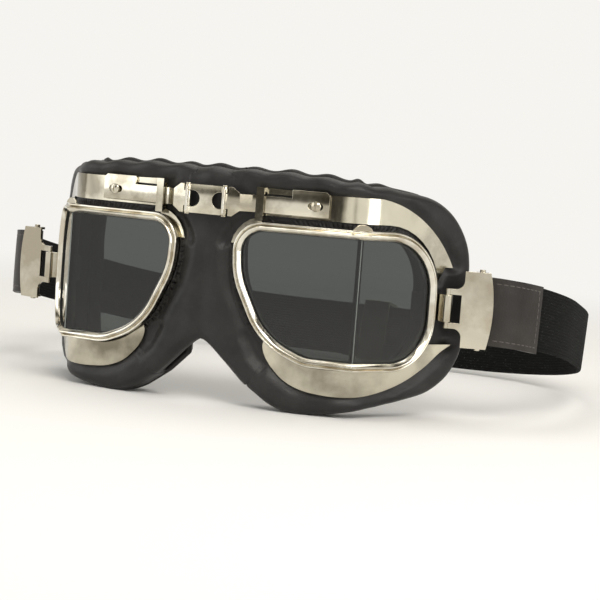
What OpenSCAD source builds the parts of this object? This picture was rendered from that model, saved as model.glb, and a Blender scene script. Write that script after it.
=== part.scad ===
// Split-lens goggles with a padded leather mask, a hinged bridge and an elastic strap.
// Lengths are millimetres. +X is the wearer's left, +Y runs back past the wearer and +Z is up.
// The origin lies on the table under the middle of the whole object.

/* [Eyepiece] */
// Height of the upper edge of the rim above eye level
rim_top = 22.9; // [20:0.1:26]
// Depth of the lower edge of the rim under eye level
rim_bottom = 28.6; // [25:0.1:32]
// Width of the front pane from the nose side of the rim to the bend
front_w = 50; // [46:0.5:54]
// Width of the side pane from the bend to the temple side of the rim
side_w = 36.5; // [33:0.5:40]
// Angle by which the side pane turns back from the front pane
bend_angle = 50; // [42:1:56]
// Angle by which the front pane turns back from straight ahead
wrap_angle = 6.3; // [3:0.1:10]
// Distance of the nose side of the rim from the middle plane
nose_x = 11.5; // [10:0.1:14]
// Place of the rim's front face at the nose, behind the bridge's front
nose_y = 1.1; // [0:0.1:3]
// Radius of the upper nose corner of the rim
nose_top_r = 11; // [8:0.5:13]
// Radius of the lower temple corner of the rim
temple_low_r = 20; // [15:0.5:22]
// Radius of the upper temple corner of the rim
temple_top_r = 22; // [16:0.5:24]
// Width of the rim's face from its outer bead to its inner edge
rim_w = 3.3; // [3:0.1:4]
// Depth of the rim from its front ridge to the back of its skirt
rim_depth = 8.6; // [7.6:0.1:9.4]
// Thickness of the skirt
skirt_wall = 1; // [0.8:0.1:1.1]
// Thickness of the laminated glass
glass_t = 2; // [1.6:0.1:2.2]
// Gap between the two panes at the bend
pane_gap = 0.4; // [0.2:0.1:0.8]

/* [Frame plate] */
// Distance of the plate's front face behind the rim's front ridge
plate_set = 4.2; // [3.9:0.1:4.6]
// Thickness of the plate's sheet metal
plate_t = 0.9; // [0.7:0.1:1.1]
// Height of the plate's upper edge above eye level at the nose end
plate_top = 35.7; // [34:0.1:37]
// Depth of the plate's lower edge under eye level
plate_low = 38.8; // [36:0.1:41]
// Radius of the plate's front face where it turns to the side
plate_bend_r = 18; // [17.5:0.5:20]
// Distance by which the plate's temple edge stands past the rim
plate_past = 10.9; // [9:0.1:12]
// Height of the notch for the strap lug
notch_h = 29; // [26:0.5:31]
// Middle of the notch and of the strap under eye level
strap_low = 4; // [2:0.1:5]
// Gap between the rim and the plate above the glass
gap_top = 2.4; // [1.6:0.1:3]
// Gap between the rim and the plate under the glass
gap_low = 0.8; // [0.5:0.1:1.4]

/* [Bridge] */
// Distance of each hinge pin from the middle plane
pin_x = 7.5; // [7:0.1:9]
// Radius of the hinge pins
hinge_pin_r = 0.6; // [0.5:0.05:0.7]
// Radial running clearance of the hinges
hinge_gap = 0.05; // [0.03:0.01:0.08]
// Outer radius of the rolled hinge knuckles
knuckle_r = 1.2; // [1.1:0.05:1.35]
// Middle height of the bridge above eye level
bridge_z = 29.4; // [28.5:0.1:30]
// Height of the bridge link
link_h = 10.8; // [10:0.1:12]
// Thickness of the bridge link and of the arms
link_t = 0.9; // [0.8:0.05:1.1]
// Height of the two notches in the bridge link
link_notch_h = 6.1; // [5.4:0.1:6.4]
// Height of the narrow bar of each arm
arm_h = 6.3; // [5.6:0.1:6.6]
// Height of the clamped end of each arm
arm_end_h = 9.4; // [8.6:0.1:9.6]
// Radius of the clamp screw's domed head
screw_head_r = 1.9; // [1.7:0.1:2.1]
// Radius of the clamp screw's shank
screw_r = 1.1; // [0.9:0.1:1.2]
// Travel of the screw in the arm's slot towards the nose
travel_in = 2; // [1:0.1:2.4]
// Travel of the screw in the arm's slot towards the temple
travel_out = 1.4; // [0.6:0.1:1.6]

/* [Mask] */
// Height of the mask's upper edge above eye level at the nose
mask_top = 41.4; // [40:0.1:43]
// Depth of the mask's lowest edge under eye level
mask_low = 47.2; // [45:0.1:49]
// Distance by which the mask's temple edge stands past the rim
mask_past = 18; // [15:0.5:20]
// Half width of the soft saddle between the two pads
saddle_half = 8.3; // [7.8:0.1:8.6]
// Depth of the nose arch under eye level
arch_low = 20.6; // [16:0.1:24]
// Thickness of the leather pads behind the plate
pad_t = 8; // [6.5:0.1:8.4]
// Thickness of the plush face cushion behind the pads
cushion_t = 6; // [4:0.1:6.4]
// Clearance that soft pieces keep from their neighbours
soft_gap = 0.3; // [0.2:0.05:0.4]

/* [Strap bracket] */
// Direction of the bracket and the strap's end, turned back from straight sideways
strap_angle = 17.6; // [12:0.2:24]
// Height of the slot in the bracket's neck
slot_h = 10.5; // [9.5:0.1:11.5]
// Width of the slot in the bracket's neck
slot_w = 4.1; // [3.8:0.1:4.6]
// Height of the bracket's neck
neck_h = 14.8; // [14.2:0.1:16]
// Height of the bracket's head
head_h = 28.5; // [28:0.1:30]
// Width of the bracket's head
head_w = 10.4; // [9.6:0.1:11]
// Thickness of the bracket's sheet metal
bracket_t = 0.9; // [0.8:0.1:1]
// Radius of the bar that the lug is rolled round
bar_r = 0.9; // [0.8:0.05:1]
// Radius of the pin that carries the strap
strap_pin_r = 1.1; // [1:0.05:1.2]

/* [Strap] */
// Gap between the leather tab and each ear of the bracket
tab_room = 0.65; // [0.4:0.05:1.2]
// Width of the elastic
elastic_w = 24; // [22:0.1:25]
// Thickness of the elastic
elastic_t = 1.6; // [1.2:0.1:1.8]
// Thickness of the leather tab
tab_t = 2.8; // [2.4:0.1:3]
// Length of the leather tab from its pin
tab_len = 27; // [24:0.5:40]
// Length over which the elastic is sewn under the tab
sewn_len = 9; // [6:0.5:12]
// Radius of the strap where it turns back just behind the bracket
edge_r = 14; // [12:0.5:18]
// Radius of the strap along the side
side_r = 105; // [98:1:110]
// Length of the straight stretch at the side
side_run = 18; // [10:1:30]
// Radius of the strap at the rear corners
rear_r = 78; // [72:1:82]
// Length by which each half passes the middle plane at the rear
overlap = 16; // [13:0.5:18]
// Thickness of the slider's middle bar, which parts the two layers of elastic
slider_bar_t = 0.8; // [0.6:0.1:1.2]
// Length of the rear slider along the strap
slider_len = 12; // [9:0.5:16]
// Angle by which the strap leans back at the rear
rear_lean = 13; // [10:0.1:14]

/* [Hidden] */
$fn = 64;

// Directions and the bend line
half_bend = bend_angle / 2;
side_angle = wrap_angle + bend_angle;
bend_x = nose_x + front_w * cos(wrap_angle);
bend_y = nose_y + front_w * sin(wrap_angle);
far = 200;
sink = 0.5;
floor_z = -mask_low + sink;
face_gap = 0.05;

// Corners of the rim's outline, as [across, up, radius], seen from the front
nose_corners = [
    [-0.3, rim_top, nose_top_r], [0.9, 2, 30],
    [12.5, 7.1 - rim_bottom, 30], [30, -rim_bottom, 20]];
temple_corners = [[side_w, -rim_bottom, temple_low_r], [side_w, rim_top, temple_top_r]];

// Depths behind the rim's front ridge
seal_set = 1.85;
seal_t = 0.5;
glass_set = seal_set + seal_t + face_gap;
ring_set = glass_set + glass_t + face_gap;
ring_t = 1;
arm_gap = 0.3;
arm_set = plate_set - arm_gap - link_t;
keeper_t = 1;
keeper_set = arm_set - arm_gap - keeper_t;
pad_set = plate_set + plate_t + soft_gap;
cushion_set = pad_set + pad_t + 0.5;
skirt_out = 0.9;
skirt_in = skirt_out + skirt_wall;
seat_in = skirt_in + face_gap;

// Places along the arm and the plate's upper band, measured from the nose side of the rim
keeper_at = 7.8;
keeper_w = 3;
arm_end_at = 21.2;
arm_end_w = 14.3;
screw_at = arm_end_at + 9.3;
screw_z = bridge_z + 0.8;
rail_h = 1.2;
pin_y = nose_y + 0.2;
front_y = pin_y - knuckle_r;

// Strap lug and bracket
lug_h = slot_h - 0.4;
lug_t = 0.9;
lug_back = rim_depth + 0.25;
eye_wall = 0.8;
eye_bore_r = bar_r + hinge_gap;
pivot_across = side_w + 1.9;
pivot_set = -2.8;
pivot_x = bend_x + pivot_across * cos(side_angle) - pivot_set * sin(side_angle);
pivot_y = bend_y + pivot_across * sin(side_angle) + pivot_set * cos(side_angle);
head_at = bar_r + slot_w + 0.8;
strap_pin_at = head_at + 6.3;
tab_eye_r = strap_pin_r + face_gap + tab_t / 2;
strap_pin_set = bracket_t / 2 + tab_eye_r + soft_gap;
ear_t = 0.9;
tab_w = head_h - 2 * (ear_t + tab_room);
ear_half_w = 2.4;
ear_depth = strap_pin_set + strap_pin_r + 0.9;
route_start = [
    pivot_x + strap_pin_at * cos(strap_angle) - strap_pin_set * sin(strap_angle),
    pivot_y + strap_pin_at * sin(strap_angle) + strap_pin_set * cos(strap_angle)];

// Bent surface of the plate and the mask: flat, then round, then flat
flat_end = front_w - (plate_set + plate_bend_r) * tan(half_bend);
arc_len = plate_bend_r * bend_angle * PI / 180;
side_start = (plate_set + plate_bend_r) * tan(half_bend);
unrolled = flat_end + arc_len - side_start;

function unit(v) = v / norm(v);

// Point at a distance across and a depth on the front pane, on the side pane or on the bent surface
function front_pt(s, d, z) = [
    nose_x + s * cos(wrap_angle) - d * sin(wrap_angle),
    nose_y + s * sin(wrap_angle) + d * cos(wrap_angle), z];
function side_pt(s, d, z) = [
    bend_x + s * cos(side_angle) - d * sin(side_angle),
    bend_y + s * sin(side_angle) + d * cos(side_angle), z];
function bent_pt(s, d, z) =
    s <= flat_end ? front_pt(s, d, z) :
    s >= flat_end + arc_len ? side_pt(s - unrolled, d, z) :
    let(turn = (s - flat_end) / plate_bend_r * 180 / PI,
        centre = front_pt(flat_end, plate_set + plate_bend_r, z),
        out = plate_bend_r + plate_set - d,
        way = wrap_angle + turn)
    centre + out * [sin(way), -cos(way), 0];

// Round corner between two straight edges, as records of [centre across, centre up, radius, angle]
function corner(before, at, after, steps) =
    let(u = unit([at[0] - before[0], at[1] - before[1]]),
        v = unit([after[0] - at[0], after[1] - at[1]]),
        start = atan2(-u[0], u[1]),
        turn = (atan2(-v[0], v[1]) - start + 720) % 360,
        back = at[2] * tan(turn / 2),
        centre = [at[0] - back * u[0] - at[2] * u[1], at[1] - back * u[1] + at[2] * u[0]])
    [for (i = [0:steps]) [centre[0], centre[1], at[2], start + turn * i / steps]];
function corners(before, list, after, steps) = [
    for (i = [0:len(list) - 1])
        each corner(i == 0 ? before : list[i - 1], list[i],
            i == len(list) - 1 ? after : list[i + 1], steps)];
function closed_corners(list, steps) = corners(list[len(list) - 1], list, list[0], steps);
function spread(record, out) = [
    record[0] + (record[2] + out) * cos(record[3]), record[1] + (record[2] + out) * sin(record[3])];

// Outline of each pane, moved outwards by a distance, running on past the bend
nose_steps = 7;
temple_steps = 9;
function front_outline(out, past = 12) = concat(
    [[front_w + past, rim_top + out]],
    [for (r = corners([front_w + past, rim_top], nose_corners, [front_w + past, -rim_bottom], nose_steps))
        spread(r, out)],
    [[front_w + past, -rim_bottom - out]]);
function side_outline(out, past = 12) = concat(
    [[-past, -rim_bottom - out]],
    [for (r = corners([-past, -rim_bottom], temple_corners, [-past, rim_top], temple_steps))
        spread(r, out)],
    [[-past, rim_top + out]]);

// Closed tube of one section carried round a ring of stations
function ring_faces(stations, size) = [
    for (i = [0:stations - 1], k = [0:size - 1])
        let(a = i * size + k, b = i * size + (k + 1) % size,
            c = ((i + 1) % stations) * size + (k + 1) % size, d = ((i + 1) % stations) * size + k)
        each [[a, c, b], [a, d, c]]];
function tube_faces(stations, size) = concat(
    [for (i = [0:stations - 2], k = [0:size - 1])
        let(a = i * size + k, b = i * size + (k + 1) % size,
            c = (i + 1) * size + (k + 1) % size, d = (i + 1) * size + k)
        each [[a, c, b], [a, d, c]]],
    [for (k = [1:size - 2]) [0, k, k + 1]],
    [for (k = [1:size - 2]) let(e = (stations - 1) * size) [e, e + k + 1, e + k]]);

// Frames of the two panes: X across, Y into the depth, Z up
module front_frame() {
    translate([nose_x, nose_y, 0]) rotate([0, 0, wrap_angle]) children();
}
module side_frame() {
    translate([bend_x, bend_y, 0]) rotate([0, 0, side_angle]) children();
}
// From the front pane's frame to the side pane's
module round_the_bend() {
    translate([front_w, 0, 0]) rotate([0, 0, bend_angle]) children();
}
// Flat piece drawn across and up, at a depth
module slab(set, t) {
    translate([0, set + t, 0]) rotate([90, 0, 0]) linear_extrude(height = t) children();
}
// Everything of a front or side piece that lies past the bend's middle plane
module past_bend_front(gap = 0) {
    translate([front_w - gap, 0, 0]) rotate([0, 0, half_bend]) box([0, -far, -far], [far, far, far]);
}
module past_bend_side(gap = 0) {
    translate([gap, 0, 0]) rotate([0, 0, -half_bend]) box([-far, -far, -far], [0, far, far]);
}
// The finished model stands on the table, with its middle over the origin
module on_table() {
    translate([0, -(front_y + rear_y) / 2, -floor_z]) children();
}
module both(side) {
    on_table() mirror([side == "right" ? 1 : 0, 0, 0]) children();
}
module box(low, high) {
    translate(low) cube(high - low);
}

// Rim, glass and what holds it

// Section of the rim as [outwards, depth], round the bead, the ridge, the glass seat and the skirt
rim_section = [
    [0, 2.6], [0, 1.5], [-0.35, 1.15], [-0.8, 1.5], [-1.1, 0.5], [-1.6, 0], [-2.1, 0.15],
    [-rim_w, 1.4], [-rim_w, seal_set - face_gap], [-skirt_in, seal_set - face_gap],
    [-skirt_in, rim_depth], [-skirt_out, rim_depth], [-skirt_out, 2.6]];
function rim_mitre(z, up) = [
    for (p = rim_section) front_pt(front_w - p[1] * tan(half_bend), p[1], z + up * p[0])];
function rim_points() =
    let(nose = corners([far, rim_top], nose_corners, [far, -rim_bottom], nose_steps),
        temple = corners([-far, -rim_bottom], temple_corners, [-far, rim_top], temple_steps))
    concat(
        rim_mitre(rim_top, 1),
        [for (r = nose, p = rim_section) let(at = spread(r, p[0])) front_pt(at[0], p[1], at[1])],
        rim_mitre(-rim_bottom, -1),
        [for (r = temple, p = rim_section) let(at = spread(r, p[0])) side_pt(at[0], p[1], at[1])]);
module rim(side) {
    points = rim_points();
    size = len(rim_section);
    color("silver") both(side)
        polyhedron(points = points, faces = ring_faces(len(points) / size, size), convexity = 8);
}

module front_lens(side) {
    color("dimgray") both(side) front_frame() difference() {
        slab(glass_set, glass_t) polygon(front_outline(-seat_in));
        past_bend_front(pane_gap / 2);
    }
}
module side_lens(side) {
    color("dimgray") both(side) side_frame() difference() {
        slab(glass_set, glass_t) polygon(side_outline(-seat_in));
        past_bend_side(pane_gap / 2);
    }
}
// Flat ring inside the skirt that follows both panes round the bend, mitred with a slight lap
mitre_lap = 0.02;
module bent_ring(set, t, width) {
    front_frame() difference() {
        slab(set, t) polygon(front_outline(-seat_in));
        slab(set - 1, t + 2) polygon(front_outline(-seat_in - width));
        past_bend_front(-mitre_lap);
    }
    side_frame() difference() {
        slab(set, t) polygon(side_outline(-seat_in));
        slab(set - 1, t + 2) polygon(side_outline(-seat_in - width));
        past_bend_side(-mitre_lap);
    }
}
module glass_seal(side) {
    color("black") both(side) bent_ring(seal_set, seal_t, rim_w - seat_in);
}
module glass_ring(side) {
    color("gray") both(side) bent_ring(ring_set, ring_t, rim_w - seat_in + 0.3);
}

// Middle plane of the bend, where the panes meet: X across it, Y into the depth
module bend_frame() {
    translate([bend_x, bend_y, 0]) rotate([0, 0, wrap_angle + half_bend]) children();
}
// Post behind the joint of the panes
module divider(side) {
    w = 1.6;
    t = 0.8;
    set = (glass_set + glass_t) / cos(half_bend) + w / 2 * tan(half_bend) + face_gap;
    clear = rim_w + 0.4;
    color("silver") both(side) bend_frame()
        box([-w / 2, set, clear - rim_bottom], [w / 2, set + t, rim_top - clear]);
}
// Half-moon clip that stands on the rim above the post
module rim_clip(side) {
    w = 7.7;
    h = 2.3;
    t = 0.9;
    set = 1.5 / cos(half_bend);
    r = (pow(w / 2, 2) + h * h) / (2 * h);
    color("silver") both(side) bend_frame() intersection() {
        translate([0, set, rim_top + h - r]) rotate([-90, 0, 0]) cylinder(r = r, h = t);
        box([-w, 0, rim_top + face_gap], [w, set + t, rim_top + 2 * h]);
    }
}

// Frame plate, in two pieces that the notch for the lug parts from each other

plate_end = plate_top - 1;
strip_out = 2;
strip_in = face_gap - skirt_out;
strip_low = 14.3;
strip_end = keeper_at + 2;
tip_z = -19.4;
tip_end = 16;
tip_start = 10;
tip_back = 20;
temple_run = 14.5;
notch_top = notch_h / 2 - strap_low;
notch_low = -notch_h / 2 - strap_low;
plate_edge = side_w + plate_past;
plate_low_front = [[13.6, plate_set - rim_bottom - 2.2, 6], [29, -plate_low, 16]];
plate_low_side = [[17, -plate_low, 20], [side_w - 0.5, 0.6 - rim_bottom, 30]];
plate_top_side = [[plate_edge - 0.5, notch_top + 3.5, 12], [side_w - temple_run, plate_end, 22]];
plate_side_end = [plate_edge, notch_low + 1.5];
// The outlines of the flat parts reach a little into the round stretch between them
region_lap = 1;
// Outline of the flat part above the front pane
plate_front_top = [
    [flat_end + region_lap, rim_top], [flat_end + region_lap, plate_end], [flat_end, plate_end],
    [keeper_at, plate_top], [keeper_at, rim_top - 2]];
// Outline of the flat part under the front pane, from the tip at the nose to the bend
plate_front_low = concat(
    [[flat_end + region_lap, 2 - rim_bottom], [tip_back, tip_z - 0.6], [tip_start, tip_z]],
    [for (r = corners([tip_start, tip_z], plate_low_front, [flat_end, -plate_low], 6)) spread(r, 0)],
    [[flat_end + region_lap, -plate_low]]);
// Outline of the flat side, from the bend along the bottom to the temple and back over the top
plate_side = concat(
    [[side_start - region_lap, -plate_low]],
    [for (r = corners([side_start, -plate_low], plate_low_side, plate_side_end, 6)) spread(r, 0)],
    [plate_side_end],
    [for (r = corners(plate_side_end, plate_top_side, [side_start, plate_end], 8)) spread(r, 0)],
    [[side_start - region_lap, plate_end]]);
// Opening of the flat side for the rim, whose gap widens round the lower temple corner
plate_opening_side = let(turns = corners([-far, -rim_bottom], temple_corners, [-far, rim_top], temple_steps))
    concat(
        [[-far, -rim_bottom - gap_low]],
        [for (i = [0:len(turns) - 1])
            spread(turns[i], gap_low + (gap_top - gap_low) * min(1, i / temple_steps))],
        [[-far, rim_top + gap_top]]);
// Notch for the lug, seen from the side
notch = [
    [side_w + 2.2, notch_top - 5], [side_w + 4.8, notch_top], [far, notch_top],
    [far, notch_low], [side_w + 3.8, notch_low + 0.3], [side_w + 0.5, notch_low + 7]];
// One face of the plate's sheet seen from above: flat, round, then flat, at a radius from the bend's centre
turn_steps = 20;
run_out = 10;
turn_centre = [flat_end, plate_set + plate_bend_r];
function turn_way(turn) = [sin(turn), -cos(turn)];
function turn_line(r) = concat(
    [[-run_out, turn_centre[1] - r]],
    [for (i = [0:turn_steps]) turn_centre + r * turn_way(bend_angle * i / turn_steps)],
    [turn_centre + r * turn_way(bend_angle) + (plate_edge + run_out) * [cos(bend_angle), sin(bend_angle)]]);
// The bent sheet from which both pieces are cut
module plate_sheet() {
    inner = turn_line(plate_bend_r - plate_t);
    translate([0, 0, -far / 2]) linear_extrude(height = far)
        polygon(concat(turn_line(plate_bend_r), [for (i = [len(inner) - 1:-1:0]) inner[i]]));
}
// Outline drawn across and up, carried through the sheet
module through_sheet() {
    slab(plate_set - 2, plate_t + 4) children();
}
// Round stretch of the sheet between two heights, with a slight lap on both flats and past their edges
module turn_region(low, high) {
    lap = 2;
    edge_lap = 0.02;
    r = plate_bend_r + 6;
    translate([0, 0, low - edge_lap]) linear_extrude(height = high - low + 2 * edge_lap) polygon(concat(
        [turn_centre],
        [for (turn = [-lap, half_bend, bend_angle + lap]) turn_centre + r * turn_way(turn)]));
}
module side_region() {
    round_the_bend() difference() {
        through_sheet() polygon(plate_side);
        through_sheet() polygon(plate_opening_side);
        through_sheet() polygon(notch);
    }
}
// Upper band, with the window that shows the arm and the hole for the clamp screw
module band_region() {
    difference() {
        through_sheet() polygon(plate_front_top);
        through_sheet() polygon(front_outline(gap_top, far));
        box([keeper_at + keeper_w, -far, bridge_z - arm_h / 2 - 0.2],
            [arm_end_at, far, plate_top - 2 * rail_h]);
        translate([screw_at, 0, screw_z]) rotate([-90, 0, 0])
            cylinder(r = screw_r + face_gap, h = far);
    }
}
// Strip that hugs the rim down to its tip beside the nose
module strip_region() {
    difference() {
        through_sheet() polygon(front_outline(strip_out));
        through_sheet() polygon(front_outline(strip_in, far));
        box([-far, -far, -far], [far, far, strip_low]);
        box([strip_end, -far, -far], [far, far, far]);
    }
}
// Loop that the arm slides through
module keeper() {
    low = rim_top + soft_gap;
    leg_h = 1.6;
    box([keeper_at, keeper_set, low], [keeper_at + keeper_w, keeper_set + keeper_t, plate_top]);
    for (z = [low, plate_top - leg_h])
        box([keeper_at, keeper_set, z], [keeper_at + keeper_w, plate_set + plate_t, z + leg_h]);
}
module brow_plate(side) {
    color("gainsboro") both(side) front_frame() {
        keeper();
        intersection() {
            plate_sheet();
            union() {
                band_region();
                strip_region();
                turn_region(rim_top + gap_top, plate_end);
                intersection() {
                    side_region();
                    box([-far, -far, 0], [far, far, far]);
                }
            }
        }
    }
}
// Crescent under the rim; its tip at the nose reaches in to the skirt
module crescent_region() {
    difference() {
        through_sheet() polygon(plate_front_low);
        through_sheet() polygon(front_outline(strip_in, far));
        difference() {
            through_sheet() polygon(front_outline(gap_low, far));
            box([-far, -far, -far], [tip_end, far, tip_z + 4.4]);
        }
    }
}
module cheek_plate(side) {
    color("gainsboro") both(side) front_frame() intersection() {
        plate_sheet();
        union() {
            crescent_region();
            turn_region(-plate_low, -rim_bottom - gap_low);
            intersection() {
                side_region();
                box([-far, -far, -far], [far, far, -strap_low]);
            }
        }
    }
}
module clamp_screw(side) {
    dome_r = 3;
    head_h = dome_r - sqrt(dome_r * dome_r - screw_head_r * screw_head_r) + 0.3;
    color("silver") both(side) front_frame()
        translate([screw_at, arm_set - face_gap, screw_z]) rotate([-90, 0, 0]) {
            difference() {
                intersection() {
                    translate([0, 0, dome_r - head_h]) sphere(r = dome_r);
                    translate([0, 0, -head_h]) cylinder(r = screw_head_r, h = head_h);
                }
                box([-0.25, -3, -head_h - 1], [0.25, 3, -head_h + 0.45]);
            }
            cylinder(r = screw_r, h = link_t + arm_gap + plate_t + face_gap);
        }
}

// Bridge and arms

pin_across = (pin_x - nose_x) * cos(wrap_angle) + (pin_y - nose_y) * sin(wrap_angle);
pin_set = -(pin_x - nose_x) * sin(wrap_angle) + (pin_y - nose_y) * cos(wrap_angle);
hinge_bore_r = hinge_pin_r + hinge_gap;
knuckle_gap = 0.2;
module bridge_link() {
    ear_h = (link_h - link_notch_h) / 2;
    color("silver") on_table() difference() {
        union() {
            box([-pin_x, pin_y - link_t / 2, bridge_z - link_h / 2],
                [pin_x, pin_y + link_t / 2, bridge_z + link_h / 2]);
            for (x = [-pin_x, pin_x], z = [-link_h / 2, link_h / 2 - ear_h])
                translate([x, pin_y, bridge_z + z]) cylinder(r = knuckle_r, h = ear_h);
        }
        for (way = [-1, 1]) {
            // Notch for the arm's knuckle, round at its inner end
            translate([way * (pin_x - 1.9), -far / 2, bridge_z]) rotate([-90, 0, 0])
                cylinder(r = link_notch_h / 2, h = far);
            translate([way * (pin_x + 0.1), 0, bridge_z]) cube([4, far, link_notch_h], center = true);
            translate([way * pin_x, pin_y, 0]) cylinder(r = hinge_bore_r, h = far);
        }
    }
}
module hinge_pin(side) {
    cap_h = 0.4;
    color("silver") both(side) translate([pin_x, pin_y, bridge_z]) {
        translate([0, 0, -link_h / 2 - cap_h]) cylinder(r = hinge_pin_r, h = link_h + 2 * cap_h);
        for (z = [-link_h / 2 - cap_h, link_h / 2])
            translate([0, 0, z]) cylinder(r = knuckle_r - 0.15, h = cap_h);
    }
}
// Plan of the arm, from the pin over the crank to the clamped end
arm_end = arm_end_at + arm_end_w;
arm_plan = [
    [pin_across, pin_set - link_t / 2], [2, pin_set - link_t / 2], [6, arm_set],
    [arm_end, arm_set], [arm_end, arm_set + link_t], [5.5, arm_set + link_t],
    [1.5, pin_set + link_t / 2], [pin_across, pin_set + link_t / 2]];
// Front view of the arm: a web in the link's notch, a flared head, a narrow bar and the clamped end
arm_web = link_notch_h / 2 - knuckle_gap;
arm_low = bridge_z - arm_h / 2;
flare = pin_across + knuckle_r + 0.35;
arm_view = [
    [pin_across, bridge_z - arm_web], [flare, bridge_z - arm_web],
    [flare, bridge_z - link_h / 2], [flare + 1.6, bridge_z - link_h / 2],
    [flare + 4.6, arm_low], [arm_end, arm_low],
    [arm_end, arm_low + arm_end_h - 1.2], [arm_end - 1.2, arm_low + arm_end_h],
    [arm_end_at, arm_low + arm_end_h], [arm_end_at, arm_low + arm_h],
    [flare + 4.6, arm_low + arm_h], [flare + 1.6, bridge_z + link_h / 2],
    [flare, bridge_z + link_h / 2], [flare, bridge_z + arm_web], [pin_across, bridge_z + arm_web]];
module arm(side) {
    slot_r = screw_r + 0.1;
    color("silver") both(side) front_frame() difference() {
        union() {
            intersection() {
                translate([0, 0, -far / 2]) linear_extrude(height = far) polygon(arm_plan);
                slab(-far / 2, far) polygon(arm_view);
            }
            translate([pin_across, pin_set, bridge_z - arm_web])
                cylinder(r = knuckle_r, h = 2 * arm_web);
        }
        translate([pin_across, pin_set, 0]) cylinder(r = hinge_bore_r, h = far);
        // Slot for the clamp screw
        for (s = [screw_at - travel_in, screw_at + travel_out])
            translate([s, -far / 2, screw_z]) rotate([-90, 0, 0]) cylinder(r = slot_r, h = far);
        box([screw_at - travel_in, -far, screw_z - slot_r], [screw_at + travel_out, far, screw_z + slot_r]);
    }
}

// Strap lug, bracket and pin

// Strip that hooks round the rim's skirt and is rolled into an eye for the bracket's bar
module lug(side) {
    leg_at = pivot_across - eye_bore_r - eye_wall + 0.4;
    hook_at = side_w - rim_w - 3;
    hook_set = ring_set + ring_t + 0.4;
    color("silver") both(side) side_frame()
        translate([0, 0, -strap_low - lug_h / 2]) difference() {
            union() {
                box([hook_at, hook_set, 0], [hook_at + lug_t, lug_back + lug_t, lug_h]);
                box([hook_at, lug_back, 0], [leg_at + lug_t, lug_back + lug_t, lug_h]);
                box([leg_at, pivot_set, 0], [leg_at + lug_t, lug_back + lug_t, lug_h]);
                translate([pivot_across, pivot_set, 0]) cylinder(r = eye_bore_r + eye_wall, h = lug_h);
            }
            translate([pivot_across, pivot_set, -1]) cylinder(r = eye_bore_r, h = lug_h + 2);
        }
}
module bracket_frame() {
    translate([pivot_x, pivot_y, -strap_low]) rotate([0, 0, strap_angle]) children();
}
module bracket(side) {
    fillet = 3.2;
    bulge_r = 60;
    bulge = 0.8;
    // The slot reaches in to the bar, which is round all the way where the lug holds it
    bar_in = 0.3;
    color("silver") both(side) bracket_frame() difference() {
        union() {
            translate([0, 0, -neck_h / 2]) cylinder(r = bar_r, h = neck_h);
            slab(-bracket_t / 2, bracket_t) difference() {
                union() {
                    translate([0, -neck_h / 2]) square([head_at + 1, neck_h]);
                    intersection() {
                        translate([head_at, -head_h / 2]) square([head_w + 1, head_h]);
                        translate([head_at + head_w + bulge - bulge_r, 0]) circle(r = bulge_r, $fn = 180);
                    }
                    for (way = [-1, 1]) difference() {
                        translate([head_at - fillet, way * (neck_h + fillet) / 2 - fillet / 2])
                            square([fillet, fillet]);
                        translate([head_at - fillet, way * (neck_h / 2 + fillet)]) circle(r = fillet);
                    }
                }
                translate([bar_r - bar_in, -slot_h / 2]) square([slot_w + bar_in, slot_h]);
            }
            for (z = [-head_h / 2, head_h / 2 - ear_t])
                box([strap_pin_at - ear_half_w, 0, z], [strap_pin_at + ear_half_w, ear_depth, z + ear_t]);
        }
        translate([strap_pin_at, strap_pin_set, -far / 2])
            cylinder(r = strap_pin_r + face_gap, h = far);
    }
}
module strap_pin(side) {
    nub = 0.9;
    color("silver") both(side) bracket_frame()
        translate([strap_pin_at, strap_pin_set, -head_h / 2 - nub])
            cylinder(r = strap_pin_r, h = head_h + 2 * nub);
}

// Soft mask

mask_centre = [44, -3];
saddle_set = pad_set + 0.4;
saddle_t = 3.2;
mask_reach = unrolled + side_w + mask_past;
nose_edge = (saddle_half + soft_gap - nose_x + (saddle_set + saddle_t) * sin(wrap_angle)) / cos(wrap_angle);
arch_foot = arch_low + 8;
// The rounding takes a little off the lowest corner
low_corner = mask_low + 1.1;
// Lengths over which the lower and the upper edge fall away to the temple, and the rise of the lower one
low_turn = 38;
low_rise = 4.8;
top_turn = 40;
mask_corners = [
    [nose_edge, mask_top, 3], [nose_edge, -arch_foot, 4], [6.5, 10.6 - mask_low, 20],
    [23, -low_corner, 16], [mask_reach - low_turn, low_rise - mask_low, 30], [mask_reach, -34, 26],
    [mask_reach, 33.5, 28], [mask_reach - top_turn, mask_top - 2.6, 40], [20, mask_top, 30]];
mask_outline = [for (r = closed_corners(mask_corners, 3)) spread(r, 0)];
skirt_outline = let(gap = soft_gap - skirt_out) concat(
    [for (r = corners([front_w, rim_top], nose_corners, [front_w, -rim_bottom], 5)) spread(r, gap)],
    [for (r = corners([0, -rim_bottom], temple_corners, [0, rim_top], 7))
        let(at = spread(r, gap)) [at[0] + unrolled, at[1]]]);
// Directions of the stations: the corners of both outlines, and steps between them
mask_step = 9;
least_step = 0.8;
function sorted(list) = len(list) <= 1 ? list :
    let(middle = list[floor(len(list) / 2)])
    concat(sorted([for (v = list) if (v < middle) v]), [middle], sorted([for (v = list) if (v > middle) v]));
mask_ways = let(ways = sorted(concat(
        [for (p = concat(mask_outline, skirt_outline)) atan2(p[1] - mask_centre[1], p[0] - mask_centre[0])],
        [for (way = [-180:mask_step:180 - mask_step]) way])))
    [for (i = [0:len(ways) - 1]) if (i == 0 || ways[i] - ways[i - 1] > least_step) ways[i]];
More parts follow.
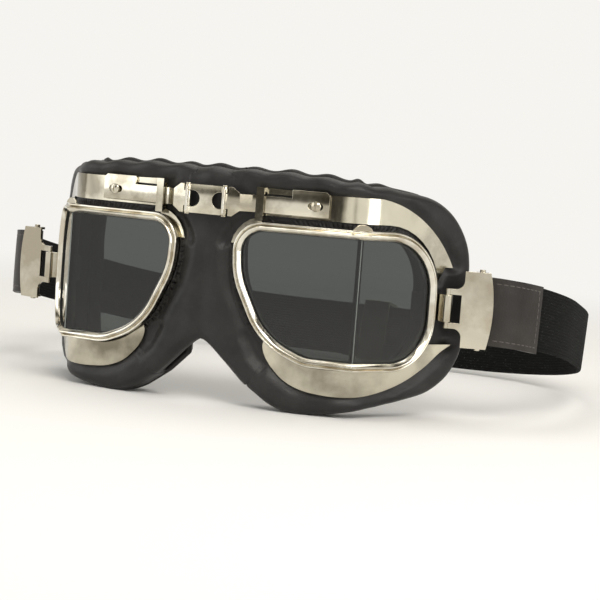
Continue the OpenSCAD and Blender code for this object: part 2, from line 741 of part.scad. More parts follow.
// Distance from the middle of the eye to an outline, along one direction
function reach(outline, way) =
    let(d = [cos(way), sin(way)],
        hits = [for (i = [0:len(outline) - 1])
            let(p = outline[i] - mask_centre, q = outline[(i + 1) % len(outline)] - mask_centre,
                e = q - p, cross = d[0] * e[1] - d[1] * e[0])
            if (abs(cross) > 0.000001)
                let(t = (p[0] * e[1] - p[1] * e[0]) / cross, u = (p[0] * d[1] - p[1] * d[0]) / cross)
                if (t > 0 && u >= 0 && u <= 1) t])
    min(hits);
// Ring of sections round the eye; a section is a list of [distance from the skirt, depth]
function mask_ring(section) = [
    for (way = mask_ways)
        let(inner = reach(skirt_outline, way), w = reach(mask_outline, way) - inner)
        each [for (p = section(w))
            let(at = mask_centre + (inner + p[0]) * [cos(way), sin(way)]) bent_pt(at[0], p[1], at[1])]];
pad_section = function(w)
    let(roll = min(3, 0.6 * w), back = pad_set + pad_t)
    [[0, pad_set], [w - roll, pad_set], [w - 0.3 * roll, pad_set + 0.8], [w, pad_set + 2.6],
        [w, back - 1.5], [w - 0.3 * roll, back], [0, back]];
cushion_section = function(w)
    let(edge = w - 0.25 * min(3, w), crown = cushion_set + cushion_t)
    [[0.2, cushion_set], [edge, cushion_set], [edge, cushion_set + 0.45 * cushion_t],
        [edge - 0.12 * w, cushion_set + 0.8 * cushion_t], [0.5 * w, crown],
        [0.25 * w, crown - 0.08 * cushion_t], [0.2, cushion_set + 0.6 * cushion_t]];
module mask_tube(section) {
    points = mask_ring(section);
    stations = len(mask_ways);
    polyhedron(points = points, faces = ring_faces(stations, len(points) / stations), convexity = 10);
}
module mask_pad(side) {
    color("#2b2420") both(side) difference() {
        mask_tube(pad_section);
        // Flat on the table, and a way through for the strap lug
        box([-far, -far, -far], [far, far, floor_z]);
        side_frame() box(
            [0, pad_set - 2, -strap_low - lug_h / 2 - soft_gap],
            [pivot_across + 0.5, lug_back + lug_t + soft_gap, -strap_low + lug_h / 2 + soft_gap]);
    }
}
module face_cushion(side) {
    color("#1d1a19") both(side) mask_tube(cushion_section);
}

// Saddle of soft leather over the nose, as a sheet of rows from the arch to the top edge
saddle_rows = 14;
saddle_cols = 16;
function saddle_pt(row, col, back) =
    let(across = 2 * col / saddle_cols - 1,
        x = saddle_half * across,
        low = -arch_low - (arch_foot - arch_low) * pow(abs(across), 1.6),
        z = low + (mask_top - low) * row / saddle_rows,
        bulge = 2.6 * (1 - across * across) * exp(-pow((z + 6) / 20, 2)),
        fold = 0.5 * (1 - pow(across, 4)) * cos(540 * across),
        rolled = max(1.5 * pow(abs(across), 8), 1.5 * pow(row / saddle_rows, 16)))
    [x, nose_y + saddle_set - bulge + fold + (back == 0 ? rolled : saddle_t), z];
module nose_saddle() {
    size = saddle_cols + 1;
    count = (saddle_rows + 1) * size;
    edge = concat(
        [for (c = [0:saddle_cols]) c],
        [for (r = [1:saddle_rows]) r * size + saddle_cols],
        [for (c = [saddle_cols - 1:-1:0]) saddle_rows * size + c],
        [for (r = [saddle_rows - 1:-1:1]) r * size]);
    color("#2b2420") on_table() polyhedron(
        points = [for (back = [0, 1], r = [0:saddle_rows], c = [0:saddle_cols]) saddle_pt(r, c, back)],
        faces = concat(
            [for (r = [0:saddle_rows - 1], c = [0:saddle_cols - 1])
                let(a = r * size + c)
                each [[a, a + size, a + size + 1], [a, a + size + 1, a + 1]]],
            [for (r = [0:saddle_rows - 1], c = [0:saddle_cols - 1])
                let(a = count + r * size + c)
                each [[a, a + size + 1, a + size], [a, a + 1, a + size + 1]]],
            [for (i = [0:len(edge) - 1])
                let(a = edge[i], b = edge[(i + 1) % len(edge)])
                each [[a, b, b + count], [a, b + count, a + count]]]));
}

// Strap route, seen from above

edge_run = 5;
side_turn = 66;
rear_turn = 95;
// Stretches of the route, as [start across, start back, heading, radius or 0 for straight, end heading]
edge_arc = [
    route_start[0] + edge_run * cos(strap_angle), route_start[1] + edge_run * sin(strap_angle),
    strap_angle, edge_r, side_turn];
function arc_end(a) = [
    a[0] + a[3] * (sin(a[4]) - sin(a[2])), a[1] + a[3] * (cos(a[2]) - cos(a[4]))];
side_arc = let(e = arc_end(edge_arc)) [e[0], e[1], side_turn, side_r, rear_turn];
rear_arc = let(e = arc_end(side_arc))
    [e[0] + side_run * cos(rear_turn), e[1] + side_run * sin(rear_turn), rear_turn, rear_r, 180];
rear_start = arc_end(rear_arc);
function arc_length(a) = a[3] * (a[4] - a[2]) * PI / 180;
edge_done = edge_run + arc_length(edge_arc);
side_done = edge_done + arc_length(side_arc);
run_done = side_done + side_run;
rear_done = run_done + arc_length(rear_arc);
route_end = rear_done + rear_start[0] + overlap;
function on_arc(a, d) =
    let(h = a[2] + d / a[3] * 180 / PI) concat(arc_end([a[0], a[1], a[2], a[3], h]), [h]);
// Place and heading at a distance from the strap pin
function route(d) =
    d <= edge_run ? concat(route_start + d * [cos(strap_angle), sin(strap_angle)], [strap_angle]) :
    d <= edge_done ? on_arc(edge_arc, d - edge_run) :
    d <= side_done ? on_arc(side_arc, d - edge_done) :
    d <= run_done ? let(e = arc_end(side_arc), r = d - side_done)
        [e[0] + r * cos(rear_turn), e[1] + r * sin(rear_turn), rear_turn] :
    d <= rear_done ? on_arc(rear_arc, d - run_done) :
    [rear_start[0] - d + rear_done, rear_start[1], 180];
// Fall of the strap to the rear, where the slider's lower edge stands on the same table as the mask
slider_lip = 1.8;
slider_wall = 1.2;
slider_room = 0.5;
// Room on both sides of the right half, which moves in the slider when one eyepiece is set wider
shift_room = 1.6;
outer_layer = (slider_bar_t + elastic_t) / 2 + slider_room;
inner_layer = (slider_bar_t + elastic_t) / 2 + shift_room;
slider_out = outer_layer + elastic_t / 2 + slider_room + slider_wall;
slider_in = inner_layer + elastic_t / 2 + shift_room + slider_wall;
slider_half_h = elastic_w / 2 + slider_lip;
rear_run = rear_start[1] - route_start[1];
elastic_up = (tab_w - elastic_w) / 2;
rear_fall = -strap_low - floor_z - slider_out * sin(rear_lean)
    - (slider_half_h - elastic_up) * cos(rear_lean);
rear_y = rear_start[1] + slider_out * cos(rear_lean) + (slider_half_h + elastic_up) * sin(rear_lean);
early_share = 2 - rear_run * tan(rear_lean) / rear_fall;
function fall(t) = rear_fall * (early_share * t + (1 - early_share) * t * t);
function fall_angle(t) = atan(rear_fall / rear_run * (early_share + 2 * (1 - early_share) * t));
function ease(t) = let(u = min(max(t, 0), 1)) u * u * (3 - 2 * u);
// Point of a strap: distance along, inward offset and height above its middle line
lean_run = 40;
function strap_pt(d, inward, up) =
    let(at = route(d), t = (at[1] - route_start[1]) / rear_run,
        lean = fall_angle(t) * ease((d - edge_run) / lean_run),
        across = inward * cos(at[2]))
    [at[0] - inward * sin(at[2]),
        at[1] + across * cos(lean) + up * sin(lean),
        -strap_low - fall(t) - across * sin(lean) + up * cos(lean)];
module ribbon(stops, middle, t, w, rise = 0) {
    points = [for (d = stops, c = [[-t / 2, -w / 2], [t / 2, -w / 2], [t / 2, w / 2], [-t / 2, w / 2]])
        strap_pt(d, middle(d) + c[0], rise + c[1])];
    polyhedron(points = points, faces = tube_faces(len(stops), 4), convexity = 10);
}
tab_stops = [for (i = [0:16]) 1.6 + (tab_len - 1.6) * i / 16];
elastic_from = tab_len - sewn_len;
elastic_inset = (tab_t + elastic_t) / 2 + 0.1;
fine_end = edge_done + 14;
elastic_stops = concat(
    [for (i = [0:12]) elastic_from + (fine_end - elastic_from) * i / 12],
    [for (i = [1:34]) fine_end + (rear_done - fine_end) * i / 34], [route_end]);
module strap_tab(side) {
    color("#2b2420") both(side) difference() {
        union() {
            bracket_frame() translate([strap_pin_at, strap_pin_set, -tab_w / 2])
                cylinder(r = tab_eye_r, h = tab_w);
            ribbon(tab_stops, function(d) 0, tab_t, tab_w);
        }
        bracket_frame() translate([strap_pin_at, strap_pin_set, -far / 2])
            cylinder(r = strap_pin_r + face_gap, h = far);
    }
}
module elastic(side) {
    step = side == "left" ? -outer_layer : inner_layer;
    inset = function(d)
        elastic_inset * (1 - ease((d - run_done) / 50)) + step * ease((d - run_done) / 60);
    color("#1b1b1c") both(side) ribbon(elastic_stops, inset, elastic_t, elastic_w, elastic_up);
}
// Slider with a middle bar that parts the two layers
module rear_slider() {
    bar_w = 3;
    depth = slider_in + slider_out;
    color("silver") on_table() translate([0, rear_start[1], -strap_low - rear_fall])
        rotate([-rear_lean, 0, 0]) translate([0, 0, elastic_up]) {
            translate([0, (slider_out - slider_in) / 2, 0]) difference() {
                cube([slider_len, depth, 2 * slider_half_h], center = true);
                cube([slider_len + 2, depth - 2 * slider_wall, elastic_w + 2 * slider_room], center = true);
            }
            cube([bar_w, slider_bar_t, 2 * slider_half_h], center = true);
        }
}

bridge_link();
hinge_pin("left");  // left_hinge_pin
hinge_pin("right");  // right_hinge_pin
nose_saddle();
arm("left");  // left_arm
arm("right");  // right_arm
brow_plate("left");  // left_brow_plate
brow_plate("right");  // right_brow_plate
cheek_plate("left");  // left_cheek_plate
cheek_plate("right");  // right_cheek_plate
rim("left");  // left_rim
rim("right");  // right_rim
front_lens("left");  // left_front_lens
front_lens("right");  // right_front_lens
side_lens("left");  // left_side_lens
side_lens("right");  // right_side_lens
glass_seal("left");  // left_glass_seal
glass_seal("right");  // right_glass_seal
glass_ring("left");  // left_glass_ring
glass_ring("right");  // right_glass_ring
divider("left");  // left_divider
divider("right");  // right_divider
rim_clip("left");  // left_rim_clip
rim_clip("right");  // right_rim_clip
lug("left");  // left_lug
lug("right");  // right_lug
clamp_screw("left");  // left_clamp_screw
clamp_screw("right");  // right_clamp_screw
mask_pad("left");  // left_mask_pad
mask_pad("right");  // right_mask_pad
face_cushion("left");  // left_face_cushion
face_cushion("right");  // right_face_cushion
bracket("left");  // left_bracket
bracket("right");  // right_bracket
strap_pin("left");  // left_strap_pin
strap_pin("right");  // right_strap_pin
strap_tab("left");  // left_strap_tab
strap_tab("right");  // right_strap_tab
elastic("left");  // left_elastic
elastic("right");  // right_elastic
rear_slider();
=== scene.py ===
"""Split-lens goggles: the looks of every surface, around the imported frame.

Lengths are millimetres in the eyepiece's own frame until place() turns them into metres on the table:
x = 0 is the middle plane, y = 0 the bridge's front and z = 0 eye level. On a pane or the mask a point is
(s, depth, z), where s runs along the surface towards the temple and depth in from the rim's front.
"""
import math

import bmesh
import bpy
import numpy as np
from mathutils import Matrix, Vector, noise
from mathutils.bvhtree import BVHTree


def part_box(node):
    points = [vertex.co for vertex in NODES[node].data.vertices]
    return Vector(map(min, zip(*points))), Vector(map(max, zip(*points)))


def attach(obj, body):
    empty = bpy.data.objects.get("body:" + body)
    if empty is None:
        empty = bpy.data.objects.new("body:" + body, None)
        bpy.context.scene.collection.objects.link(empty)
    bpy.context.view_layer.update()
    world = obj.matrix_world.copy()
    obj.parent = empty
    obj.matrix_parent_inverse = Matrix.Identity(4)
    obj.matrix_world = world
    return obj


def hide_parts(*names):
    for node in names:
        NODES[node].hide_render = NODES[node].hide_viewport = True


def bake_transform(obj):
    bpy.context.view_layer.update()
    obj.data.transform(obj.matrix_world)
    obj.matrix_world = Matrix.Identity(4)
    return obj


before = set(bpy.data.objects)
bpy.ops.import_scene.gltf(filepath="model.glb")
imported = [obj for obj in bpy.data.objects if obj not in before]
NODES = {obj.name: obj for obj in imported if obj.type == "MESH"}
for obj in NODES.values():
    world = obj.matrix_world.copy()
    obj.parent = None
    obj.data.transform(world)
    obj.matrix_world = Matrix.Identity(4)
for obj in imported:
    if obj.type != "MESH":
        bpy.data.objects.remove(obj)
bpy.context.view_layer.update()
MM = 0.001
SIDES = {"left": 1, "right": -1}

# Sizes of the eyepiece
RIM_TOP, RIM_BOTTOM = 22.9, 28.6
FRONT_W, SIDE_W = 50.0, 36.5
WRAP, BEND = math.radians(6.3), math.radians(50)
SIDE_TURN = WRAP + BEND
NOSE_X, NOSE_Y = 11.5, 1.1
PIN_X, PIN_Y, BRIDGE_Z = 7.5, 1.3, 29.4
RIM_W, RIM_DEPTH = 3.3, 8.6
SKIRT_OUT, SKIRT_IN = 0.9, 1.9
NOSE_CORNERS = [(-0.3, RIM_TOP, 11), (0.9, 2, 30), (12.5, 7.1 - RIM_BOTTOM, 30), (30, -RIM_BOTTOM, 20)]
TEMPLE_CORNERS = [(SIDE_W, -RIM_BOTTOM, 20), (SIDE_W, RIM_TOP, 22)]
BEND_X = NOSE_X + FRONT_W * math.cos(WRAP)
BEND_Y = NOSE_Y + FRONT_W * math.sin(WRAP)
FAR = 200.0

# Sizes of the frame plate and of the mask behind it
PLATE_SET, PLATE_BEND_R, PLATE_T = 4.2, 18.0, 0.9
LEATHER_SET, PAD_BACK = 5.45, 13.4
CUSHION_SET, CUSHION_T = 13.9, 6.0
MASK_TOP, MASK_LOW, MASK_PAST = 41.4, 47.2, 18.0
STRAP_LOW = 4.0
NOTCH_LOW = -18.5
ARC_LEN, BEND_CUT = PLATE_BEND_R * BEND, (PLATE_SET + PLATE_BEND_R) * math.tan(BEND / 2)
FLAT_END = FRONT_W - BEND_CUT
UNROLLED = FLAT_END + ARC_LEN - BEND_CUT

# Where the eyepiece's frame stands on the table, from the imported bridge
link_low, link_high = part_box("bridge_link")
SHIFT = np.array([
    0.0, (link_low.y + link_high.y) / 2 / MM - PIN_Y, (link_low.z + link_high.z) / 2 / MM - BRIDGE_Z])
FLOOR_Z = -SHIFT[2]


# Points on the panes and on the mask

def place(points):
    """Points in metres on the table."""
    return (np.asarray(points, float) + SHIFT) * MM


def above_table(points, clear):
    """The points, none of them nearer to the table than `clear`."""
    points = np.array(points)
    points[..., 2] = np.maximum(points[..., 2], FLOOR_Z + clear)
    return points


def direction(turn):
    return np.stack([np.cos(turn), np.sin(turn)], axis=-1)


def matched(*values):
    """The values as arrays of one shape."""
    return np.broadcast_arrays(*(np.asarray(v, float) for v in values))


def on_pane(s, depth, z, origin, turn):
    s, depth, z = matched(s, depth, z)
    along, into = direction(turn), np.array([-math.sin(turn), math.cos(turn)])
    return np.stack([
        origin[0] + s * along[0] + depth * into[0],
        origin[1] + s * along[1] + depth * into[1], z], axis=-1)


def front_pt(s, depth, z):
    return on_pane(s, depth, z, (NOSE_X, NOSE_Y), WRAP)


def side_pt(s, depth, z):
    return on_pane(s, depth, z, (BEND_X, BEND_Y), SIDE_TURN)


def bent_pt(s, depth, z):
    """Point on the mask's surface: flat, then round, then flat."""
    s, depth, z = matched(s, depth, z)
    turn = np.clip((s - FLAT_END) / PLATE_BEND_R, 0, BEND)
    centre = front_pt(FLAT_END, PLATE_SET + PLATE_BEND_R, 0)
    way, out = WRAP + turn, PLATE_BEND_R + PLATE_SET - depth
    bent = np.stack([centre[0] + out * np.sin(way), centre[1] - out * np.cos(way), z], axis=-1)
    flat = np.where((s <= FLAT_END)[..., None], front_pt(s, depth, z), side_pt(s - UNROLLED, depth, z))
    return np.where(((s > FLAT_END) & (s < FLAT_END + ARC_LEN))[..., None], bent, flat)


def nose_x(s, depth=LEATHER_SET):
    return NOSE_X + s * math.cos(WRAP) - depth * math.sin(WRAP)


def nose_s(x, depth=LEATHER_SET):
    return (x - NOSE_X + depth * math.sin(WRAP)) / math.cos(WRAP)


def nose_y(x):
    return NOSE_Y + (x - NOSE_X) * math.tan(WRAP)


# Outlines as rows of (s, z)

def corners(before, listed, after, steps):
    """Round corners as rows of centre, radius and direction, one row for each step."""
    rows = []
    chain = [before, *listed, after]
    for i, at in enumerate(listed, 1):
        p, q, r = (np.array(chain[j][:2], float) for j in (i - 1, i, i + 1))
        u, v = (q - p) / np.linalg.norm(q - p), (r - q) / np.linalg.norm(r - q)
        start = math.atan2(-u[0], u[1])
        turn = (math.atan2(-v[0], v[1]) - start) % (2 * math.pi)
        back = at[2] * math.tan(turn / 2)
        centre = q - back * u + at[2] * np.array([-u[1], u[0]])
        rows += [(centre[0], centre[1], at[2], start + turn * k / steps) for k in range(steps + 1)]
    return np.array(rows)


def spread(rows, out):
    """Points of round corners, moved outwards."""
    return rows[:, :2] + (rows[:, 2] + out)[:, None] * direction(rows[:, 3])


def rim_corners(steps):
    """Corners round the front pane, then those round the side pane."""
    return (
        corners((FAR, RIM_TOP), NOSE_CORNERS, (FAR, -RIM_BOTTOM), steps),
        corners((-FAR, -RIM_BOTTOM), TEMPLE_CORNERS, (-FAR, RIM_TOP), steps))


def rim_outline(out):
    nose, temple = rim_corners(20)
    return np.vstack([spread(nose, out), spread(temple, out) + [UNROLLED, 0]])


def arc(x, y, wide, high, degrees):
    """Points on an oval, for directions in degrees that turn towards lower y."""
    return [(x + wide * math.cos(a), y - high * math.sin(a)) for a in np.radians(degrees)]


def lengths(line):
    """Length along a line at each of its points."""
    return np.concatenate([[0], np.cumsum(np.linalg.norm(np.diff(line, axis=0), axis=1))])


def points_at(want, along, line):
    return np.stack([np.interp(want, along, line[:, k]) for k in (0, 1)], axis=1)


def smooth_line(line, count):
    """The line as a round curve of evenly spaced points."""
    p = np.vstack([2 * line[0] - line[1], line, 2 * line[-1] - line[-2]])
    fine = []
    for i in range(1, len(p) - 2):
        for t in np.arange(12) / 12:
            a, b, c, d = p[i - 1:i + 3]
            fine.append(0.5 * (2 * b + (c - a) * t + (2 * a - 5 * b + 4 * c - d) * t ** 2
                + (3 * b - a - 3 * c + d) * t ** 3))
    fine = np.vstack([fine, line[-1:]])
    along = lengths(fine)
    return points_at(np.linspace(0, along[-1], count), along, fine)


def stretches(line, close):
    """Start and run of each straight stretch of a line."""
    ends = np.roll(line, -1, axis=0) if close else line[1:]
    starts = line if close else line[:-1]
    return starts, ends - starts


def distance(points, line, close):
    """Distance of each point from a line of straight stretches."""
    best = np.full(len(points), np.inf)
    for p, v in zip(*stretches(line, close)):
        t = np.clip(((points - p) @ v) / (v @ v), 0, 1)
        best = np.minimum(best, np.linalg.norm(points - p - t[:, None] * v, axis=1))
    return best


def inside(points, line):
    hit = np.zeros(len(points), bool)
    for p, q in zip(line, np.roll(line, -1, axis=0)):
        crosses = (p[1] > points[:, 1]) != (q[1] > points[:, 1])
        at = p[0] + (points[:, 1] - p[1]) / (q[1] - p[1] if q[1] != p[1] else 1) * (q[0] - p[0])
        hit ^= crosses & (points[:, 0] < at)
    return hit


def smooth(t):
    t = np.clip(t, 0, 1)
    return t * t * (3 - 2 * t)


# Meshes

def ring_faces(count, size, close=True):
    """Quads between rings of `size` points; the rings close, and so does the row of rings if asked."""
    return [
        (i * size + k, ((i + 1) % count) * size + k,
            ((i + 1) % count) * size + (k + 1) % size, i * size + (k + 1) % size)
        for i in range(count if close else count - 1) for k in range(size)]


def tube_faces(count, size):
    """Faces of a row of rings, with a face over both its ends."""
    last = (count - 1) * size
    ends = [tuple(range(size)), tuple(last + k for k in reversed(range(size)))]
    return ring_faces(count, size, close=False) + ends


def add_object(name, mesh):
    obj = bpy.data.objects.new(name, mesh)
    bpy.context.scene.collection.objects.link(obj)
    return obj


def add_mesh(name, points, faces, finish, side, sharp=35):
    """A new object whose mesh lies where its points say, mirrored for the right side."""
    points = place(np.asarray(points, float).reshape(-1, 3))
    points[:, 0] *= SIDES[side]
    if side == "right":
        faces = [tuple(reversed(f)) for f in faces]
    mesh = bpy.data.meshes.new(name)
    mesh.from_pydata(points.tolist(), [], faces)
    mesh.validate()
    mesh.shade_smooth()
    mesh.set_sharp_from_angle(angle=math.radians(sharp))
    mesh.materials.append(finish)
    return add_object(name, mesh)


def add_tube(name, rings, finish, side, sharp=35, close=False):
    """A new object from a row of rings, which closes or has faces over its ends."""
    faces = (ring_faces if close else tube_faces)(len(rings), len(rings[0]))
    return add_mesh(name, rings, faces, finish, side, sharp)


def joined(parts):
    """One list of points and one of faces from several."""
    points, faces, base = [], [], 0
    for p, f in parts:
        p = np.asarray(p, float).reshape(-1, 3)
        points.append(p)
        faces += [tuple(base + i for i in face) for face in f]
        base += len(p)
    return np.vstack(points), faces


# Shader nodes

def material(name, **values):
    """A new material, with its node tree and its main shader."""
    made = bpy.data.materials.new(name)
    made.use_nodes = True
    shader = made.node_tree.nodes["Principled BSDF"]
    for key, value in values.items():
        shader.inputs[key.replace("_", " ")].default_value = value
    return made, made.node_tree, shader


def configured(made, **settings):
    """What was made, with each of its named settings."""
    for key, value in settings.items():
        setattr(made, key, value)
    return made


def node(tree, kind, values=(), **settings):
    """A new node, each of whose inputs takes a value or the socket that feeds it."""
    made = configured(tree.nodes.new(kind), **settings)
    for key, value in dict(values).items():
        if isinstance(value, bpy.types.NodeSocket):
            tree.links.new(value, made.inputs[key])
        else:
            made.inputs[key].default_value = value
    return made


def feed(tree, target, **sources):
    """Links each source to the input that it is named after."""
    for key, source in sources.items():
        tree.links.new(source, target.inputs[key.replace("_", " ")])


def maths(tree, operation, *values):
    return node(tree, "ShaderNodeMath", dict(enumerate(values)), operation=operation).outputs[0]


def coordinates(tree, kind="Object"):
    for n in tree.nodes:
        if n.bl_idname == "ShaderNodeTexCoord":
            return n.outputs[kind]
    return tree.nodes.new("ShaderNodeTexCoord").outputs[kind]


def clouds(tree, scale, detail=4.0, rough=0.55, vector=None):
    """Cloudy noise between 0 and 1."""
    return node(tree, "ShaderNodeTexNoise", {
        "Scale": scale, "Detail": detail, "Roughness": rough,
        "Vector": vector or coordinates(tree)}).outputs["Fac"]


def ramp(tree, source, stops):
    """Colour for a value, from stops of place and colour."""
    made = node(tree, "ShaderNodeValToRGB", {0: source})
    elements = made.color_ramp.elements
    for i, (at, colour) in enumerate(stops):
        spot = elements[i] if i < 2 else elements.new(at)
        spot.position = at
        spot.color = (*colour, 1)
    return made.outputs["Color"]


def spanned(tree, source, low, high):
    return node(tree, "ShaderNodeMapRange", {
        "Value": source, "To Min": low, "To Max": high}).outputs["Result"]


def faded(tree, source, start, end):
    """0 up to the start, 1 from the end on, and a soft step between them."""
    return node(tree, "ShaderNodeMapRange", {"Value": source, "From Min": start, "From Max": end},
        interpolation_type="SMOOTHSTEP").outputs["Result"]


def bump(tree, shader, height, strength, rise, invert=False):
    """Adds relief of a rise in millimetres on top of the relief that the shader has."""
    made = node(tree, "ShaderNodeBump", {
        "Height": height, "Strength": strength, "Distance": rise * MM}, invert=invert)
    for link in shader.inputs["Normal"].links:
        feed(tree, made, Normal=link.from_socket)
    feed(tree, shader, Normal=made.outputs["Normal"])


# Materials

def chrome(name, colour, rough, wear=0.10, waves=0.06, patches=140, dull=0.8):
    """Plated metal, with a soft haze, small marks, dull patches and a faintly uneven surface."""
    made, tree, shader = material(name, Metallic=1.0, Base_Color=(*colour, 1))
    haze = maths(tree, "MULTIPLY", clouds(tree, 55, 5), clouds(tree, 900, 3))
    dark = tuple(dull * c * warm for c, warm in zip(colour, (1.0, 0.96, 0.9)))
    feed(tree, shader, Roughness=spanned(tree, haze, rough, rough + wear * 2.5),
        Base_Color=ramp(tree, clouds(tree, patches, 6, 0.5), [(0.41, dark), (0.57, colour)]))
    bump(tree, shader, clouds(tree, 55, 1.5, 0.4), 1.0, waves)
    bump(tree, shader, clouds(tree, 1600, 2), 0.35, 0.004)
    return made


def crowned(made, middle, half, rise):
    """Rounds a finish across its height, as if its strip were bowed by `rise` at `half` from its middle."""
    tree = made.node_tree
    height = node(tree, "ShaderNodeSeparateXYZ", {0: coordinates(tree)}).outputs["Z"]
    share = maths(tree, "DIVIDE", maths(tree, "SUBTRACT", height, (middle + SHIFT[2]) * MM), half * MM)
    bump(tree, tree.nodes["Principled BSDF"], maths(tree, "MULTIPLY", share, share), 1.0, rise, invert=True)
    return made


def leather(name, dark, light, rough):
    """Fine-grained leather, darker and lighter in soft random clouds."""
    made, tree, shader = material(name, Specular_IOR_Level=0.28, Coat_Weight=0.03, Coat_Roughness=0.35)
    creases = clouds(tree, 420, 8, 0.65)
    grain = node(tree, "ShaderNodeTexVoronoi", {
        "Scale": 1500.0, "Randomness": 1.0, "Vector": coordinates(tree)}).outputs["Distance"]
    feed(tree, shader, Base_Color=ramp(tree, clouds(tree, 60, 6, 0.6), [(0.30, dark), (0.72, light)]),
        Roughness=spanned(tree, creases, rough - 0.10, rough + 0.14))
    bump(tree, shader, grain, 0.35, 0.09)
    bump(tree, shader, creases, 0.45, 0.22)
    bump(tree, shader, clouds(tree, 2600, 3), 0.25, 0.05)
    return made


def plush(name, dark, light):
    """Short dense pile."""
    made, tree, shader = material(
        name, Roughness=0.95, Sheen_Weight=0.55, Sheen_Roughness=0.45, Sheen_Tint=(*light, 1))
    tufts = clouds(tree, 1500, 6, 0.75)
    feed(tree, shader, Base_Color=ramp(tree, tufts, [(0.35, dark), (0.68, light)]))
    bump(tree, shader, tufts, 1.0, 0.7)
    bump(tree, shader, clouds(tree, 300, 3), 0.6, 0.8)
    return made


def woven(name, dark, light):
    """Elastic webbing: ribs along the strap, crossed by fine threads, with pale flecks."""
    made, tree, shader = material(name, Roughness=0.8, Specular_IOR_Level=0.12)
    split = node(tree, "ShaderNodeSeparateXYZ", {0: coordinates(tree, "UV")})
    threads, ribs = (
        maths(tree, "SINE", maths(tree, "MULTIPLY", split.outputs[axis], 2 * math.pi / pitch))
        for axis, pitch in (("X", 0.62), ("Y", 1.15)))
    weave = maths(tree, "ADD", maths(tree, "MULTIPLY", threads, ribs), maths(tree, "MULTIPLY", ribs, 0.45))
    flecks = ramp(tree, clouds(tree, 2200, 2, 0.5), [(0.66, (0, 0, 0)), (0.74, (0.16, 0.16, 0.15))])
    colour = node(tree, "ShaderNodeMix", {
        "Factor": 0.6, "A": ramp(tree, weave, [(0.15, dark), (0.95, light)]), "B": flecks},
        data_type="RGBA", blend_type="SCREEN")
    feed(tree, shader, Base_Color=colour.outputs["Result"])
    bump(tree, shader, weave, 0.9, 0.16)
    bump(tree, shader, clouds(tree, 1800, 3), 0.4, 0.1)
    return made


def smoked_glass(name, tint):
    made, tree, shader = material(
        name, Base_Color=(*tint, 1), Transmission_Weight=1.0, IOR=1.5, Specular_IOR_Level=0.5)
    feed(tree, shader, Roughness=spanned(tree, clouds(tree, 45, 5, 0.6), 0.0, 0.02))
    return made


def rubber(name, colour):
    made, tree, shader = material(name, Roughness=0.6, Base_Color=(*colour, 1))
    bump(tree, shader, clouds(tree, 1200), 0.4, 0.05)
    return made


def thread(name, colour):
    made, tree, shader = material(name, Roughness=0.7, Sheen_Weight=0.2)
    dark = tuple(0.6 * c for c in colour)
    feed(tree, shader, Base_Color=ramp(tree, clouds(tree, 1400, 3), [(0.3, dark), (0.7, colour)]))
    return made


CHROME = chrome("rim_chrome", (0.76, 0.73, 0.645), 0.07)
PLATE = crowned(
    chrome("plate_chrome", (0.64, 0.60, 0.49), 0.08, wear=0.12, waves=0.75, patches=34, dull=0.36), 0, 38, 4)
STEEL = chrome("fitting_chrome", (0.60, 0.56, 0.46), 0.10, wear=0.05, waves=0.3, patches=60, dull=0.72)
BRIDGE = crowned(
    chrome("bridge_chrome", (0.74, 0.70, 0.58), 0.10, waves=0.2, patches=70, dull=0.55), BRIDGE_Z, 5.5, 0.8)
RING = chrome("ring_metal", (0.55, 0.55, 0.52), 0.25)
GLASS = smoked_glass("smoked_glass", (0.070, 0.079, 0.076))
PANE_EDGE = rubber("ground_glass_edge", (0.17, 0.185, 0.175))
SEAL = rubber("seal_rubber", (0.02, 0.02, 0.018))
LEATHER = leather("mask_leather", (0.0092, 0.0088, 0.0086), (0.0255, 0.0244, 0.0238), 0.42)
BINDING = leather("edge_binding", (0.008, 0.0075, 0.007), (0.020, 0.018, 0.017), 0.45)
TAB_LEATHER = leather("tab_leather", (0.014, 0.0115, 0.010), (0.033, 0.028, 0.025), 0.45)
PLUSH = plush("cushion_plush", (0.006, 0.0055, 0.005), (0.045, 0.040, 0.036))
ELASTIC = woven("strap_elastic", (0.002, 0.0022, 0.002), (0.012, 0.013, 0.0118))
THREAD = thread("stitching", (0.10, 0.085, 0.075))


# Finish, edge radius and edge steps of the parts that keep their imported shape
SOFTENED = {
    "divider": (STEEL, 0.2), "rim_clip": (STEEL, 0.18), "lug": (STEEL, 0.22), "clamp_screw": (STEEL, 0.12),
    "arm": (BRIDGE, 0.22), "hinge_pin": (STEEL, 0.12), "bracket": (STEEL, 0.2), "strap_pin": (STEEL, 0.2),
    "glass_ring": (RING, 0.1), "glass_seal": (SEAL, 0.05, 1), "front_lens": (GLASS, 0.15, 2),
    "side_lens": (GLASS, 0.15, 2)}
# Tolerances in metres
MERGE, ON_PLANE = 1e-6, 1e-7
FLAT_ANGLE, SHARP_ANGLE = math.radians(0.4), math.radians(32)


def soften(obj, finish, radius, steps=3):
    """Gives an object its finish and rounds its sharp edges."""
    for slot in obj.material_slots:
        slot.material = finish
    if not obj.material_slots:
        obj.data.materials.append(finish)
    obj.data.shade_smooth()
    stack = obj.modifiers
    configured(stack.new("weld", "WELD"), merge_threshold=MERGE)
    configured(stack.new("flat", "DECIMATE"), decimate_type="DISSOLVE", angle_limit=FLAT_ANGLE)
    configured(stack.new("edges", "BEVEL"), width=radius * MM, segments=steps, limit_method="ANGLE",
        angle_limit=SHARP_ANGLE, harden_normals=True)
    configured(stack.new("normals", "WEIGHTED_NORMAL"), keep_sharp=True)


for side in SIDES:
    for part, look in SOFTENED.items():
        soften(NODES[f"{side}_{part}"], *look)
soften(NODES["bridge_link"], BRIDGE, 0.2)
soften(NODES["rear_slider"], STEEL, 0.25)


# Hinge beads

